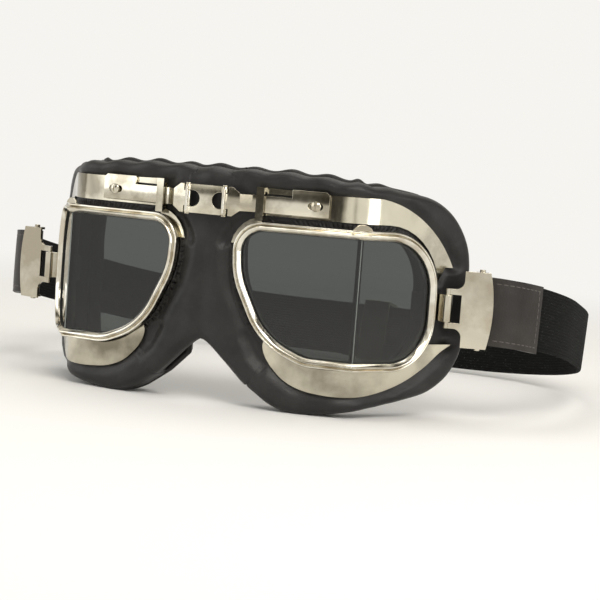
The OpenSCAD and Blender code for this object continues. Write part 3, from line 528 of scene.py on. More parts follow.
BEAD_HALF_W, BEAD_RISE, BEAD_OUT, BEAD_HALF_H = 0.58, 0.52, 0.03, 4.6


def make_hinge_bead(side):
    """Rolled front of a knuckle, between the pin's caps."""
    outline = arc(PIN_X, -BEAD_OUT, BEAD_HALF_W, BEAD_RISE, np.arange(0, 181, 20))
    rings = [[(x, y, z) for x, y in outline] for z in (BRIDGE_Z - BEAD_HALF_H, BRIDGE_Z + BEAD_HALF_H)]
    obj = add_tube(f"{side}_hinge_bead", rings, CHROME, side, 50)
    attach(obj, "bridge")


# Rims

RIM_BEAD_R, RIM_BEAD_DEPTH = 0.42, 1.5
SEAT_DEPTH, SHOULDER_DEPTH = 1.8, 2.6


def rim_section():
    """Points as outwards and depth: bead, groove, ridge, inner bevel, seat and skirt."""
    bead = arc(-RIM_BEAD_R, RIM_BEAD_DEPTH, RIM_BEAD_R, RIM_BEAD_R, np.arange(-10, 161, 17))
    ridge = [
        (-0.98, 1.62), (-1.12, 1.35), (-1.3, 0.72), (-1.5, 0.25), (-1.75, 0.03), (-2.0, 0.03), (-2.25, 0.2)]
    bevel = [(-2.75, 0.72), (-3.1, 1.08), (-RIM_W, 1.32), (-RIM_W, SEAT_DEPTH)]
    skirt = [
        (-SKIRT_IN, SEAT_DEPTH), (-SKIRT_IN, RIM_DEPTH), (-SKIRT_OUT, RIM_DEPTH),
        (-SKIRT_OUT, SHOULDER_DEPTH), (-0.12, SHOULDER_DEPTH), (0, 2.45)]
    return bead + ridge + bevel + skirt


def rim_rings(steps=26):
    """Rings of the section round both panes, meeting in the mitre's plane."""
    out, depth = np.transpose(rim_section())
    mitre = FRONT_W - depth * math.tan(BEND / 2)

    def ring(point, row):
        s, z = spread(row[None], out).T
        return point(s, depth, z)

    nose, temple = rim_corners(steps)
    return [
        front_pt(mitre, depth, RIM_TOP + out), *(ring(front_pt, row) for row in nose),
        front_pt(mitre, depth, -RIM_BOTTOM - out), *(ring(side_pt, row) for row in temple)]


def make_rim(side):
    obj = add_tube(f"{side}_bent_rim", rim_rings(), CHROME, side, 40, close=True)
    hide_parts(f"{side}_rim")
    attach(obj, f"{side}_eye")


# Upper plates

# Outer edge of the upper plate round the temple, an arc about a point given as (s, z)
BROW_CENTRE, BROW_RADIUS = np.array([49.5, -10.6]), 45.7
BROW_TURNS = np.radians(np.linspace(86, 25, 37))


def make_brow_band(side):
    """The upper plate as packed, with its outer edge trimmed to one arc round the temple."""
    build = bmesh.new()
    build.from_mesh(NODES[f"{side}_brow_plate"].data)
    bmesh.ops.remove_doubles(build, verts=build.verts, dist=MERGE)
    mirror = np.array([SIDES[side], 1, 1])
    line = BROW_CENTRE + BROW_RADIUS * direction(BROW_TURNS)
    for (s, z), (s_next, z_next) in zip(line, line[1:]):
        normal = np.array([*((z - z_next) * direction(SIDE_TURN)), s_next - s]) * mirror
        at = place(bent_pt(s, PLATE_SET, z)) * mirror
        whole = [*build.verts, *build.edges, *build.faces]
        bmesh.ops.bisect_plane(
            build, geom=whole, dist=ON_PLANE, plane_co=at, plane_no=normal, clear_outer=True)
        open_edges = [e for e in build.edges if e.is_boundary]
        if open_edges:
            bmesh.ops.edgeloop_fill(build, edges=open_edges)
    mesh = bpy.data.meshes.new(f"{side}_brow_band")
    build.to_mesh(mesh)
    build.free()
    obj = add_object(f"{side}_brow_band", mesh)
    soften(obj, PLATE, 0.2)
    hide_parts(f"{side}_brow_plate")
    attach(obj, f"{side}_eye")


# Lower plates

# Outer edge of the crescent as (s, z), from its tip near the nose to the notch at the temple
CRESCENT = np.array([
    (14.0, -20.5), (13.5, -22.2), (13.8, -24.4), (15.1, -27.3), (17.8, -30.8), (22.6, -34.9), (29.2, -37.6),
    (37, -38.7), (46, -38.8), (54.5, -37.9), (63.9, -35.6), (72.3, -32.2), (80.4, -27.2), (87.2, -21.6),
    (92.4, NOTCH_LOW)])
CRESCENT_HIGH = -20
CRESCENT_EDGE_R = 0.24
BEHIND_RIM = 0.75


def make_crescent(side, stations=150, across=9):
    """The lower plate: a bent crescent whose inner edge runs behind the rim's bead."""
    outer = smooth_line(CRESCENT, stations)
    rim = rim_outline(0)
    rim = rim[(rim[:, 1] < CRESCENT_HIGH) | ((rim[:, 0] > UNROLLED) & (rim[:, 1] < NOTCH_LOW))]
    first = int(np.argmin(np.hypot(*(rim - outer[0]).T)))
    line = np.vstack([rim[first:], [rim[:, 0].max(), NOTCH_LOW]])
    along = lengths(line)
    share = np.linspace(0, 1, stations)
    inner = points_at(share * along[-1], along, line)
    # Between its tip and the pane's middle the inner edge leaves a narrow gap beside the rim
    tucks = BEHIND_RIM - smooth((share - 0.06) / 0.08) * smooth((0.55 - share) / 0.12)
    rings = []
    for a, b, tuck in zip(inner, outer, tucks):
        low, high = -tuck, np.linalg.norm(b - a)
        way = (b - a) / high
        r = min(CRESCENT_EDGE_R, (high - low) / 4)
        section = [(low, PLATE_T), (low, r), (low + 0.3 * r, 0.3 * r), (low + r, 0)]
        section += [(low + r + (high - low - 2 * r) * k / across, 0) for k in range(1, across)]
        section += [(high - r, 0), (high - 0.3 * r, 0.3 * r), (high, r), (high, PLATE_T)]
        section += [(low + (high - low) * k / across, PLATE_T) for k in range(across - 1, 0, -1)]
        d, depth = np.transpose(section)
        rings.append(bent_pt(a[0] + way[0] * d, PLATE_SET + depth, a[1] + way[1] * d))
    obj = add_tube(f"{side}_crescent", rings, PLATE, side, 50)
    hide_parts(f"{side}_cheek_plate")
    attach(obj, f"{side}_eye")


# Soft mask: one leather surface, cut into the two pads and the saddle over the nose

MASK_CENTRE = np.array([44.0, -3.0])
MASK_REACH = UNROLLED + SIDE_W + MASK_PAST
NOSE_S = -11.0
ARCH_SLOPE, ARCH_ROUND, ARCH_TOP, ARCH_HALF_W, ARCH_POINTS = 1.03, 3.0, 22.6, 8, 12
MASK_CORNERS = [
    (6.2, -37.0, 20), (23, -48.3, 26), (MASK_REACH - 38, 4.8 - MASK_LOW, 30), (MASK_REACH, -34, 26),
    (MASK_REACH, 33.5, 28), (MASK_REACH - 40, MASK_TOP - 2.6, 40), (20, MASK_TOP, 30)]
EDGE_ROLL, HIDDEN_ROLL = 3.2, 0.8
# Pitch of the top edge's scallops, and heights of the leather's crest, swell and gathers
SCALLOP, CREST, SWELL, GATHER = 14.2, 2.8, 1.5, 0.2
NOSE_ROUND = 1.6
# Edge of the saddle, which laps over the pads: beside the rim, behind the lower plate's tip, to the arch
SADDLE_EDGE = np.array([
    (8.9, -37.6), (11.8, -32.4), (14.3, -27.6), (13.2, -24.6), (11.6, -21.6), (9.2, -18.9), (6.4, -15.6),
    (3.4, -10.6), (0.7, -4.6), (-0.9, 1.5), (-1.5, 8), (-1.7, 16), (-1.7, 28), (-1.8, 36), (-1.9, MASK_TOP)])
LAP, LAP_LIFT, LAP_SINK = 1.9, 0.2, 0.45
SADDLE_WALL_T, SADDLE_SHORT = 1.3, 1.6
HEM_IN, HEM_DEPTH, BACK_CUT = 0.55, 1.2, 0.7
CLEAR_TO_X, METAL_GAP = 26, 0.42
OUT_OF_REACH = 1e3
# Way for the strap lug through the pad: along the pane, in depth and in height
WAY_NEAR, WAY_FAR, WAY_FRONT, WAY_BACK, WAY_HALF_H = 30, 38.9, 3.0, 10.05, 5.35
BINDING_R, BINDING_DEPTH_R, BINDING_IN = 1.25, 1.35, 0.9


def mask_edge():
    """Outer edge of the leather from the arch's apex round to the top of the nose, as (s, z)."""
    x = np.linspace(0, ARCH_HALF_W, ARCH_POINTS)
    arch_z = -ARCH_TOP - ARCH_SLOPE * (np.sqrt(x * x + ARCH_ROUND ** 2) - ARCH_ROUND)
    arch = np.stack([nose_s(x), arch_z], axis=1)
    rest = spread(corners(arch[-1], MASK_CORNERS, (NOSE_S, MASK_TOP), 18), 0)
    return np.vstack([arch, rest, [[nose_s(0), MASK_TOP]]])


def around(stations):
    """Directions round the mask's centre, as angles and as unit steps."""
    ways = np.linspace(-math.pi, math.pi, stations, endpoint=False)
    return ways, direction(ways)


def reach(line, ways, close=False):
    """Distance from the mask's centre to a line, along each direction."""
    starts, run = stretches(line, close)
    p = starts - MASK_CENTRE
    best = np.full(len(ways), OUT_OF_REACH)
    for i, way in enumerate(ways):
        d = direction(way)
        cross = d[0] * run[:, 1] - d[1] * run[:, 0]
        cross = np.where(np.abs(cross) < 1e-9, 1e-9, cross)
        t = (p[:, 0] * run[:, 1] - p[:, 1] * run[:, 0]) / cross
        u = (p[:, 0] * d[1] - p[:, 1] * d[0]) / cross
        hit = (t > 0) & (u >= -1e-6) & (u <= 1 + 1e-6)
        if hit.any():
            best[i] = t[hit].min()
    return best


def upright(x, high):
    """Upright line beside the nose, as (s, z)."""
    return np.array([(nose_s(x), -high), (nose_s(x), high)])


def drawn_on(line, by=20):
    """The line, drawn on down from its start and up from its end."""
    return np.vstack([line[0] - [0, by], line, line[-1] + [0, by]])


def metal_tree():
    """What the leather must stay behind, in the eyepiece's frame."""
    names = ["left_brow_plate", "left_cheek_plate", "left_lug", "left_arm", "bridge_link", "left_hinge_pin"]
    points, faces = joined([
        (np.array([v.co for v in NODES[n].data.vertices]) / MM - SHIFT,
            [tuple(p.vertices) for p in NODES[n].data.polygons]) for n in names])
    return BVHTree.FromPolygons([Vector(p) for p in points], faces)


MASK_EDGE = mask_edge()
RIM_EDGE = rim_outline(0)
METAL = metal_tree()


def wave_noise(points, scale, seed):
    return np.array([noise.noise(Vector((p[0] * scale, p[1] * scale, seed))) for p in points])


def scallops(x):
    """The wave of the gathered top edge, 1 at the middle of the nose."""
    return np.cos(2 * math.pi * x / SCALLOP)


def scalloped(s, z, amount=0.42):
    return z + amount * scallops(nose_x(s)) * smooth((z - 34) / 6) * smooth((75 - s) / 25)


def leather_depth(s, z):
    """Depth of the leather's front before its edge rolls back, and distances from rim and edge."""
    points = np.stack([s, z], axis=1)
    from_rim = distance(points, RIM_EDGE, True)
    from_rim = np.where(inside(points, RIM_EDGE), -from_rim, from_rim)
    from_edge = distance(points, MASK_EDGE, False)
    x = nose_x(s)
    low = smooth((20 - z) / 12)
    near_nose = smooth((32 - s) / 16) * low
    crest = CREST * smooth(from_rim / 7.5) * (1 - 0.34 * np.exp(-(x / 3.0) ** 2) * low)
    swell = SWELL * smooth(from_rim / 5) * smooth(from_edge / 4)
    rise = near_nose * crest + (1 - near_nose) * swell
    gathers = GATHER * scallops(x) * smooth((z - 33) / 6) * smooth((70 - s) / 20)
    puckers = 0.20 * wave_noise(points, 0.14, 3.1) + 0.05 * wave_noise(points, 0.42, 7.7)
    rise = rise + (gathers + puckers) * smooth(from_rim / 3)
    base = bent_pt(s, LEATHER_SET, z)
    # The eyepiece slides towards the nose, so the leather there also clears where the plates will be
    slides = np.where(x < CLEAR_TO_X, 1.0, 0.0)[:, None] * np.array([[1.0, 0, 0]])
    room = np.min([
        [METAL.find_nearest(Vector(p))[3] for p in base + step * slides] for step in (0, 1.1, 2.2)], axis=0)
    rise = np.minimum(rise, 0.75 * np.maximum(room - METAL_GAP, 0))
    return LEATHER_SET - rise, from_rim, from_edge


def crimp(along, from_rim, depth):
    """Pleats of the leather that is drawn in round the rim, in the gap beside it."""
    band = smooth((from_rim + 0.6) / 0.5) * smooth((2.3 - from_rim) / 0.9)
    pleat = np.abs(np.sin(along * 2.1 + 1.3 * np.sin(along * 0.37))) ** 0.7
    rag = wave_noise(np.stack([along, from_rim], axis=1), 0.85, 1.7)
    return depth + band * (0.55 - 0.75 * pleat - 0.55 * rag)


def make_pad(side, stations=520):
    """Padded leather round one eyepiece, crimped at its opening and rolled at its edge."""
    ways, unit = around(stations)
    inner = reach(rim_outline(-HEM_IN), ways, close=True)
    outer = reach(MASK_EDGE, ways)
    edge = smooth_line(SADDLE_EDGE, 90)
    tongue = reach(drawn_on(edge - [LAP, 0]), ways)
    outer = outer - LAP_SINK * smooth((outer - reach(drawn_on(edge), ways)) / 2)
    roll = np.where(tongue < outer, HIDDEN_ROLL, EDGE_ROLL)
    outer = np.minimum(outer, tongue)
    roll = np.minimum(roll, 0.45 * (outer - inner))

    def at(out):
        return (MASK_CENTRE + out[:, None] * unit).T

    hem_s, hem_z = at(inner)
    along = lengths(np.stack([hem_s, hem_z], axis=1))
    sections = []
    for share in (0, 0.035, 0.07, 0.11, 0.15, 0.2, 0.26, 0.33, 0.41, 0.5, 0.6, 0.7, 0.8, 0.9, 1.0):
        s, z = at(inner + (outer - roll - inner) * share)
        depth, from_rim, _ = leather_depth(s, z)
        depth = crimp(along, from_rim, depth)
        sections.append((s, depth, scalloped(s, z)))
    for a in np.radians([15, 30, 45, 60, 75, 90]):
        s, z = at(outer - roll + roll * math.sin(a))
        sections.append((s, depth + roll * (1 - math.cos(a)), scalloped(s, z)))
    last_s, _, last_z = sections[-1]
    back_s, back_z = at(outer - BACK_CUT)
    sections += [
        (last_s, PAD_BACK - BACK_CUT, last_z), (back_s, PAD_BACK, scalloped(back_s, back_z)),
        (hem_s, PAD_BACK, hem_z), (hem_s, LEATHER_SET + HEM_DEPTH, hem_z)]
    rings = above_table(np.stack([bent_pt(*section) for section in sections], axis=1), 0.03)
    obj = add_tube(f"{side}_leather_pad", rings, LEATHER, side, 60, close=True)
    cut_lug_way(obj, side)
    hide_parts(f"{side}_mask_pad")
    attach(obj, f"{side}_eye")


def cut_lug_way(obj, side):
    """A slot for the strap lug through the pad's temple side."""
    outline = [(WAY_NEAR, WAY_FRONT), (WAY_FAR, WAY_FRONT), (WAY_FAR, WAY_BACK), (WAY_NEAR, WAY_BACK)]
    rings = [[side_pt(s, d, z - STRAP_LOW) for s, d in outline] for z in (-WAY_HALF_H, WAY_HALF_H)]
    cutter = add_tube(f"{side}_way", rings, LEATHER, side)
    configured(obj.modifiers.new("way", "BOOLEAN"), operation="DIFFERENCE", object=cutter)
    graph = bpy.context.evaluated_depsgraph_get()
    whole = obj.data
    done = bpy.data.meshes.new_from_object(obj.evaluated_get(graph))
    obj.modifiers.clear()
    obj.data = done
    bpy.data.meshes.remove(whole)
    bpy.data.objects.remove(cutter)


def saddle_grid(edge, rows, u):
    """Rows of (s, z) between the arch, the top, the middle of the nose and the lapped edge."""
    arch = MASK_EDGE[(MASK_EDGE[:, 0] <= edge[0][0]) & (MASK_EDGE[:, 1] < 0)]
    arch = np.vstack([arch, edge[0]])
    run = lengths(arch)
    low = points_at(u * run[-1], run, arch)
    top = np.stack([nose_s(0) + u * (edge[-1][0] - nose_s(0)), np.full(len(u), MASK_TOP)], axis=1)
    laps = points_at(rows, np.linspace(0, 1, len(edge)), edge)
    u = u[:, None]
    grid = []
    for v, lap in zip(rows, laps):
        middle = np.array([nose_s(0), (1 - v) * low[0][1] + v * MASK_TOP])
        ends = (1 - u) * ((1 - v) * low[0] + v * top[0]) + u * ((1 - v) * low[-1] + v * top[-1])
        grid.append((1 - v) * low + v * top + (1 - u) * middle + u * lap - ends)
    return np.array(grid)


def lap_faces(across, size):
    """Faces that close the lapped edge between its front and its back."""
    first, last = (across - 1) * size, across * size - 1
    return [(first + i, last - i, last - i - 1, first + i + 1) for i in range(size // 2 - 1)]


def blend_over_hinge(obj):
    """Bakes a soft piece's placement into its mesh, without attaching it to a body."""
    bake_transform(obj)


def make_saddle(side, across=34):
    """Half of the leather over the nose, from the middle plane to its lapped edge."""
    close_rows = np.array([0, 0.12, 0.45, 1.0, 1.7, 2.5]) / 61
    rows = np.concatenate([close_rows, np.linspace(3.4, 57, 54) / 61, 1 - close_rows[::-1]])
    edge = smooth_line(SADDLE_EDGE, 400)
    s, z = saddle_grid(edge, rows, np.linspace(0, 1, across) ** 0.9).reshape(-1, 2).T
    flat_x = nose_x(s)
    x = np.sqrt(flat_x ** 2 + NOSE_ROUND ** 2)
    depth, _, from_edge = leather_depth(nose_s(x), z)
    near = np.clip(EDGE_ROLL - from_edge, 0, EDGE_ROLL)
    depth = depth + EDGE_ROLL - np.sqrt(EDGE_ROLL ** 2 - near ** 2)
    from_lap = distance(np.stack([s, z], axis=1), edge, False)
    depth = depth - LAP_LIFT * smooth((6 - from_lap) / 6) + 0.15 * smooth((0.6 - from_lap) / 0.6)
    front = bent_pt(s, depth, scalloped(nose_s(x), z))
    front[:, 1] += nose_y(x) - nose_y(flat_x)
    front[:, 0] = flat_x + (front[:, 0] - flat_x) * smooth(flat_x / 7)
    behind = front.copy()
    behind[:, 1] += 0.2 + 1.3 * smooth((from_lap - LAP - 0.6) / 1.5)
    front, behind = (v.reshape(len(rows), across, 3) for v in (front, behind))
    behind[0] = front[0] + [0, 0.4, SADDLE_WALL_T]
    behind[-1] = front[-1] + [0, 0.4, -SADDLE_WALL_T]
    wall = np.array([0, PAD_BACK - LEATHER_SET - EDGE_ROLL - SADDLE_SHORT, 0])
    low_wall, top_wall = front[:1] + wall, front[-1:] + wall
    loop = np.concatenate([
        low_wall, front, top_wall, top_wall - [0, 0, SADDLE_WALL_T], behind[::-1],
        low_wall + [0, 0, SADDLE_WALL_T]])
    faces = [tuple(reversed(f)) for f in ring_faces(across, len(loop), close=False)]
    obj = add_mesh(
        f"{side}_saddle", loop.transpose(1, 0, 2), faces + lap_faces(across, len(loop)), LEATHER, side, 60)
    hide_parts("nose_saddle")
    blend_over_hinge(obj)


def make_binding(side, stations=420, sides=10):
    """Bound edge between the leather and the plush, gathered into scallops along the top."""
    ways, unit = around(stations)
    lines = (MASK_EDGE[ARCH_POINTS:-1], upright(9.2, 60), MASK_EDGE)
    outer = np.min([reach(line, ways) for line in lines], axis=0)
    middle = MASK_CENTRE + (outer - BINDING_IN)[:, None] * unit
    top = smooth((middle[:, 1] - 30) / 9)
    puff = 1.25 + 0.16 * scallops(nose_x(middle[:, 0])) * smooth((70 - middle[:, 0]) / 25)
    turns = 2 * math.pi * np.arange(sides) / sides
    rings = []
    for at, way, wide in zip(middle, unit, BINDING_R + 0.6 * top * puff):
        s, z = (at + way * (np.cos(turns) * wide)[:, None]).T
        rings.append(bent_pt(s, PAD_BACK + 0.35 + np.sin(turns) * BINDING_DEPTH_R, scalloped(s, z, 0.5)))
    obj = add_tube(f"{side}_edge_binding", above_table(rings, 0.05), BINDING, side, 80, close=True)
    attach(obj, f"{side}_eye")


def make_nose_binding(side, stations=26, sides=12):
    """The bound edge's run over the nose, half on each side of the middle."""
    turns = 2 * math.pi * np.arange(sides) / sides
    depth = PAD_BACK - 0.6 + BINDING_DEPTH_R * np.sin(turns)
    rings = []
    for x in np.linspace(0, 9.9, stations):
        up = MASK_TOP - BINDING_IN + (BINDING_R + 0.75 + 0.1 * scallops(x)) * np.cos(turns)
        ring = bent_pt(nose_s(math.hypot(x, NOSE_ROUND)), depth, scalloped(nose_s(x), up, 0.5))
        ring[:, 0] = x
        rings.append(ring)
    obj = add_tube(f"{side}_nose_binding", rings, BINDING, side, 80)
    blend_over_hinge(obj)


def make_pane_joint(side):
    """Ground edge where the two panes meet, which catches the light."""
    half, front, back = 0.2, 2.3, 2.66
    s, depth = np.transpose([(-half, back), (-0.5 * half, front), (0.5 * half, front), (half, back)])
    rings = [
        on_pane(s, depth, z, (BEND_X, BEND_Y), WRAP + BEND / 2)
        for z in (RIM_W - RIM_BOTTOM, RIM_TOP - RIM_W)]
    obj = add_tube(f"{side}_pane_joint", rings, PANE_EDGE, side)
    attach(obj, f"{side}_eye")


def fuller(v, power):
    """Sine or cosine of an oval that is fuller than a circle."""
    return math.copysign(abs(v) ** power, v)


def make_cushion(side, stations=300):
    """Plush ring against the face: crowned, and drawn in where it is sewn to the leather."""
    ways, unit = around(stations)
    inner = reach(rim_outline(-0.5), ways, close=True)
    outer = np.minimum(reach(MASK_EDGE, ways), reach(upright(9.4, 70), ways)) - 0.9
    middle, half = (inner + outer) / 2, (outer - inner) / 2
    lump = np.array([0.18 * noise.noise(Vector((3.2 * x, 3.2 * y, 0.5))) for x, y in unit])
    sections = []
    for a in np.linspace(0, 2 * math.pi, 30, endpoint=False):
        across, up = fuller(math.cos(a), 0.75), fuller(math.sin(a), 0.8)
        s, z = (MASK_CENTRE + (middle + half * across * (1 + 0.03 * max(up, 0)))[:, None] * unit).T
        height = up * (CUSHION_T - 1) * (1 + lump) if up > 0 else up
        sections.append(bent_pt(s, CUSHION_SET + 1 + height, z))
    rings = above_table(np.stack(sections, axis=1), 0.2)
    obj = add_tube(f"{side}_plush_cushion", rings, PLUSH, side, 80, close=True)
    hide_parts(f"{side}_face_cushion")
    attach(obj, f"{side}_eye")


# Strap

STRAP_ANGLE = math.radians(17.6)
PIVOT_ACROSS, PIVOT_SET = SIDE_W + 1.9, -2.8
STRAP_PIN_AT, STRAP_PIN_SET, STRAP_PIN_R = 12.1, 3.3, 1.1
EDGE_RUN, EDGE_R, SIDE_R, SIDE_RUN, REAR_R, OVERLAP = 5.0, 14.0, 105.0, 18.0, 78.0, 16.0
SIDE_WAY, REAR_WAY = math.radians(66), math.radians(95)
REAR_LEAN, LEAN_RUN = math.radians(13), 40.0
TAB_W, TAB_T, TAB_LEN, SEWN_LEN = 25.4, 2.8, 27.0, 9.0
TAB_FOLD_R, SEAM_IN = STRAP_PIN_R + 1.4, 2.1
ELASTIC_W, ELASTIC_T, ELASTIC_UP, ELASTIC_EDGE_R, ELASTIC_BOW = 24.0, 1.6, 0.7, 0.5, 0.05
OUTER_LAYER, INNER_LAYER = 1.7, 2.8
SLIDER_OUT, SLIDER_HALF_H = 4.2, 13.8
STITCH_STEP, STITCH_RUN, CROSS_RUN, STITCH_HALF_W, STITCH_HALF_T = 2.3, 1.7, 1.6, 0.17, 0.13


def bracket_pt(along, across, up):
    """Point of the bracket, from the pivot in the lug."""
    return on_pane(along, across, up - STRAP_LOW, side_pt(PIVOT_ACROSS, PIVOT_SET, 0), STRAP_ANGLE)


def along_leg(at, way, radius, run):
    """Place and heading after a run along a straight or round leg."""
    if not radius:
        return at + run * direction(way), way
    end = way + run / radius
    return at + radius * np.array([math.sin(end) - math.sin(way), math.cos(way) - math.cos(end)]), end


def strap_route():
    """Legs of the strap's route from above: start, heading, radius or 0 for straight, and length."""
    at, way = bracket_pt(STRAP_PIN_AT, STRAP_PIN_SET, 0)[:2], STRAP_ANGLE
    legs = []
    for radius, until, run in (
            (0, None, EDGE_RUN), (EDGE_R, SIDE_WAY, 0), (SIDE_R, REAR_WAY, 0), (0, None, SIDE_RUN),
            (REAR_R, math.pi, 0), (0, None, None)):
        length = at[0] + OVERLAP if run is None else run or radius * (until - way)
        legs.append((at, way, radius, length))
        at, way = along_leg(at, way, radius, length)
    return legs


ROUTE = strap_route()
RUNS = np.cumsum([0] + [leg[3] for leg in ROUTE])
SIDE_END, ROUTE_END = RUNS[4], RUNS[6]
ROUTE_Y = ROUTE[0][0][1]
REAR_RUN = ROUTE[5][0][1] - ROUTE_Y
REAR_FALL = (
    -STRAP_LOW - FLOOR_Z - SLIDER_OUT * math.sin(REAR_LEAN)
    - (SLIDER_HALF_H - ELASTIC_UP) * math.cos(REAR_LEAN))
EARLY_SHARE = 2 - REAR_RUN * math.tan(REAR_LEAN) / REAR_FALL


def strap_pt(d, inward, up):
    """Point of a strap: distance along, inward offset and height above its middle line."""
    i = min(int(np.searchsorted(RUNS, d, side="right")) - 1, 5)
    (x, y), way = along_leg(*ROUTE[i][:3], d - RUNS[i])
    t = (y - ROUTE_Y) / REAR_RUN
    tilt = math.atan(REAR_FALL / REAR_RUN * (EARLY_SHARE + 2 * (1 - EARLY_SHARE) * t))
    lean = tilt * smooth((d - EDGE_RUN) / LEAN_RUN)
    fall = REAR_FALL * (EARLY_SHARE * t + (1 - EARLY_SHARE) * t * t)
    across = inward * math.cos(way)
    return [
        x - inward * math.sin(way), y + across * math.cos(lean) + up * math.sin(lean),
        -STRAP_LOW - fall - across * math.sin(lean) + up * math.cos(lean)]


def elastic_section():
    """Cross-section of the elastic as (inward, up), with rounded edges and slightly bowed faces."""
    points = []
    half = ELASTIC_W / 2 - ELASTIC_EDGE_R
    for way in (1, -1):
        for up in way * np.linspace(-half, half, 9):
            points.append((way * (ELASTIC_T / 2 + ELASTIC_BOW * (1 - (2 * up / ELASTIC_W) ** 2)), up))
        for a in np.linspace(0, math.pi, 5)[1:-1]:
            points.append((way * ELASTIC_T / 2 * math.cos(a), way * (half + ELASTIC_EDGE_R * math.sin(a))))
    return points


def elastic_middle(side, d):
    """Inward offset of the elastic: against the tab at first, and in its own layer at the rear."""
    layer = -OUTER_LAYER if side == "left" else INNER_LAYER
    inset = (TAB_T + ELASTIC_T) / 2 + 0.1
    return inset * (1 - smooth((d - SIDE_END) / 50)) + layer * smooth((d - SIDE_END) / 60)


def make_elastic(side):
    """Half of the elastic, from the tab to the overlap at the rear."""
    stops = np.linspace(TAB_LEN - SEWN_LEN, ROUTE_END, 230)
    section = elastic_section()
    rings = [
        [strap_pt(d, middle + inward, ELASTIC_UP + up) for inward, up in section]
        for d, middle in zip(stops, elastic_middle(side, stops))]
    obj = add_tube(f"{side}_elastic_band", rings, ELASTIC, side, 50)
    layer = obj.data.uv_layers.new(name="along")
    for loop in obj.data.loops:
        ring, k = divmod(loop.vertex_index, len(section))
        layer.data[loop.index].uv = (stops[ring], section[k][1])
    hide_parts(f"{side}_elastic")
    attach(obj, f"{side}_strap")


def tab_half(d, up):
    """Half the tab's thickness: more at the fold and in the middle, less under the seams."""
    wide = TAB_T / 2 + (TAB_FOLD_R - TAB_T / 2) * smooth((4.2 - d) / 3.2) * 0.55
    puff = 0.10 * math.cos(math.pi * up / TAB_W) * smooth((TAB_LEN - d) / 3)
    groove = 0.16 * math.exp(-((abs(up) - (TAB_W / 2 - SEAM_IN)) / 0.45) ** 2)
    return wide + puff - groove


def make_tab(side):
    """Leather folded round the strap pin, both layers sewn together over the elastic."""
    ups = np.linspace(-TAB_W / 2, TAB_W / 2, 15)
    outer_face, inner_face = (
        [[strap_pt(d, way * tab_half(d, up), up) for up in ups] for d in np.linspace(1.9, TAB_LEN, 46)]
        for way in (-1, 1))
    fold = [
        [bracket_pt(along, across, up) for up in ups]
        for along, across in arc(STRAP_PIN_AT, STRAP_PIN_SET, TAB_FOLD_R, TAB_FOLD_R, np.arange(90, 271, 15))]
    rows = [*outer_face[::-1], *fold, *inner_face]
    count, size = len(rows), len(ups)
    faces = [
        (i * size + k, i * size + k + 1, (i + 1) * size + k + 1, (i + 1) * size + k)
        for i in range(count - 1) for k in range(size - 1)]
    last = (count - 1) * size
    faces += [(k, last + k, last + k + 1, k + 1) for k in range(size - 1)]
    for k in (0, size - 1):
        pairs = [(i * size + k, last - i * size + k) for i in range(count // 2 + 1)]
        for (a, b), (c, d) in zip(pairs, pairs[1:]):
            face = tuple(dict.fromkeys((a, c, d, b) if k == 0 else (a, b, d, c)))
            if len(face) > 2:
                faces.append(face)
    obj = add_mesh(f"{side}_leather_tab", rows, faces, TAB_LEATHER, side, 60)
    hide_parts(f"{side}_strap_tab")
    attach(obj, f"{side}_strap")


def stitch(d, up, run, rise, way):
    """Rings of one stitch on a face of the tab, along the strap or across it."""
    wide_d, wide_up = (STITCH_HALF_W, 0) if rise else (0, STITCH_HALF_W)
    rings = []
    for t in np.linspace(0, 1, 7):
        at_d, at_up = d + run * t, up + rise * t
        out = way * (tab_half(at_d, at_up) + 0.16 * math.sin(math.pi * t) - 0.05)
        rings.append([
            strap_pt(at_d + wide_d * c, out + STITCH_HALF_T * s, at_up + wide_up * c)
            for c, s in (direction(a) for a in np.arange(6) * math.pi / 3)])
    return rings


def make_stitches(side):
    """Two rows of edge stitches, and a cross row over the sewn end of the elastic."""
    seam = TAB_W / 2 - SEAM_IN
    starts = [
        (d, up, STITCH_RUN, 0) for up in (-seam, seam) for d in np.arange(5.5, TAB_LEN - 1.5, STITCH_STEP)]
    starts += [
        (TAB_LEN - 2.2, up, 0, CROSS_RUN) for up in np.arange(3.6 - TAB_W / 2, TAB_W / 2 - 2.6, STITCH_STEP)]
    points, faces = joined([(stitch(*start, way), tube_faces(7, 6)) for start in starts for way in (-1, 1)])
    obj = add_mesh(f"{side}_tab_stitches", points, faces, THREAD, side, 60)
    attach(obj, f"{side}_strap")


# Camera and light

AZIMUTH, ELEVATION, ROLL = (math.radians(v) for v in (22.54, 4.92, 4.39))
CAMERA_TARGET = np.array([41.09, 0.0, -4.36])
CAMERA_FAR, FOCAL_PX, FRAME_PX, CENTRE_DROP_PX = 709.73, 1960.18, 600, 2
SENSOR = 36
BACKGROUND = (0.92, 0.905, 0.87, 1)
FLOOR_HALF, LAMP_AIM = 6.0, (0, 0, 0.04)
# Brightness of the room where it lights things, and where it is seen
ROOM_LIGHT, ROOM_SEEN = 0.62, 1.0


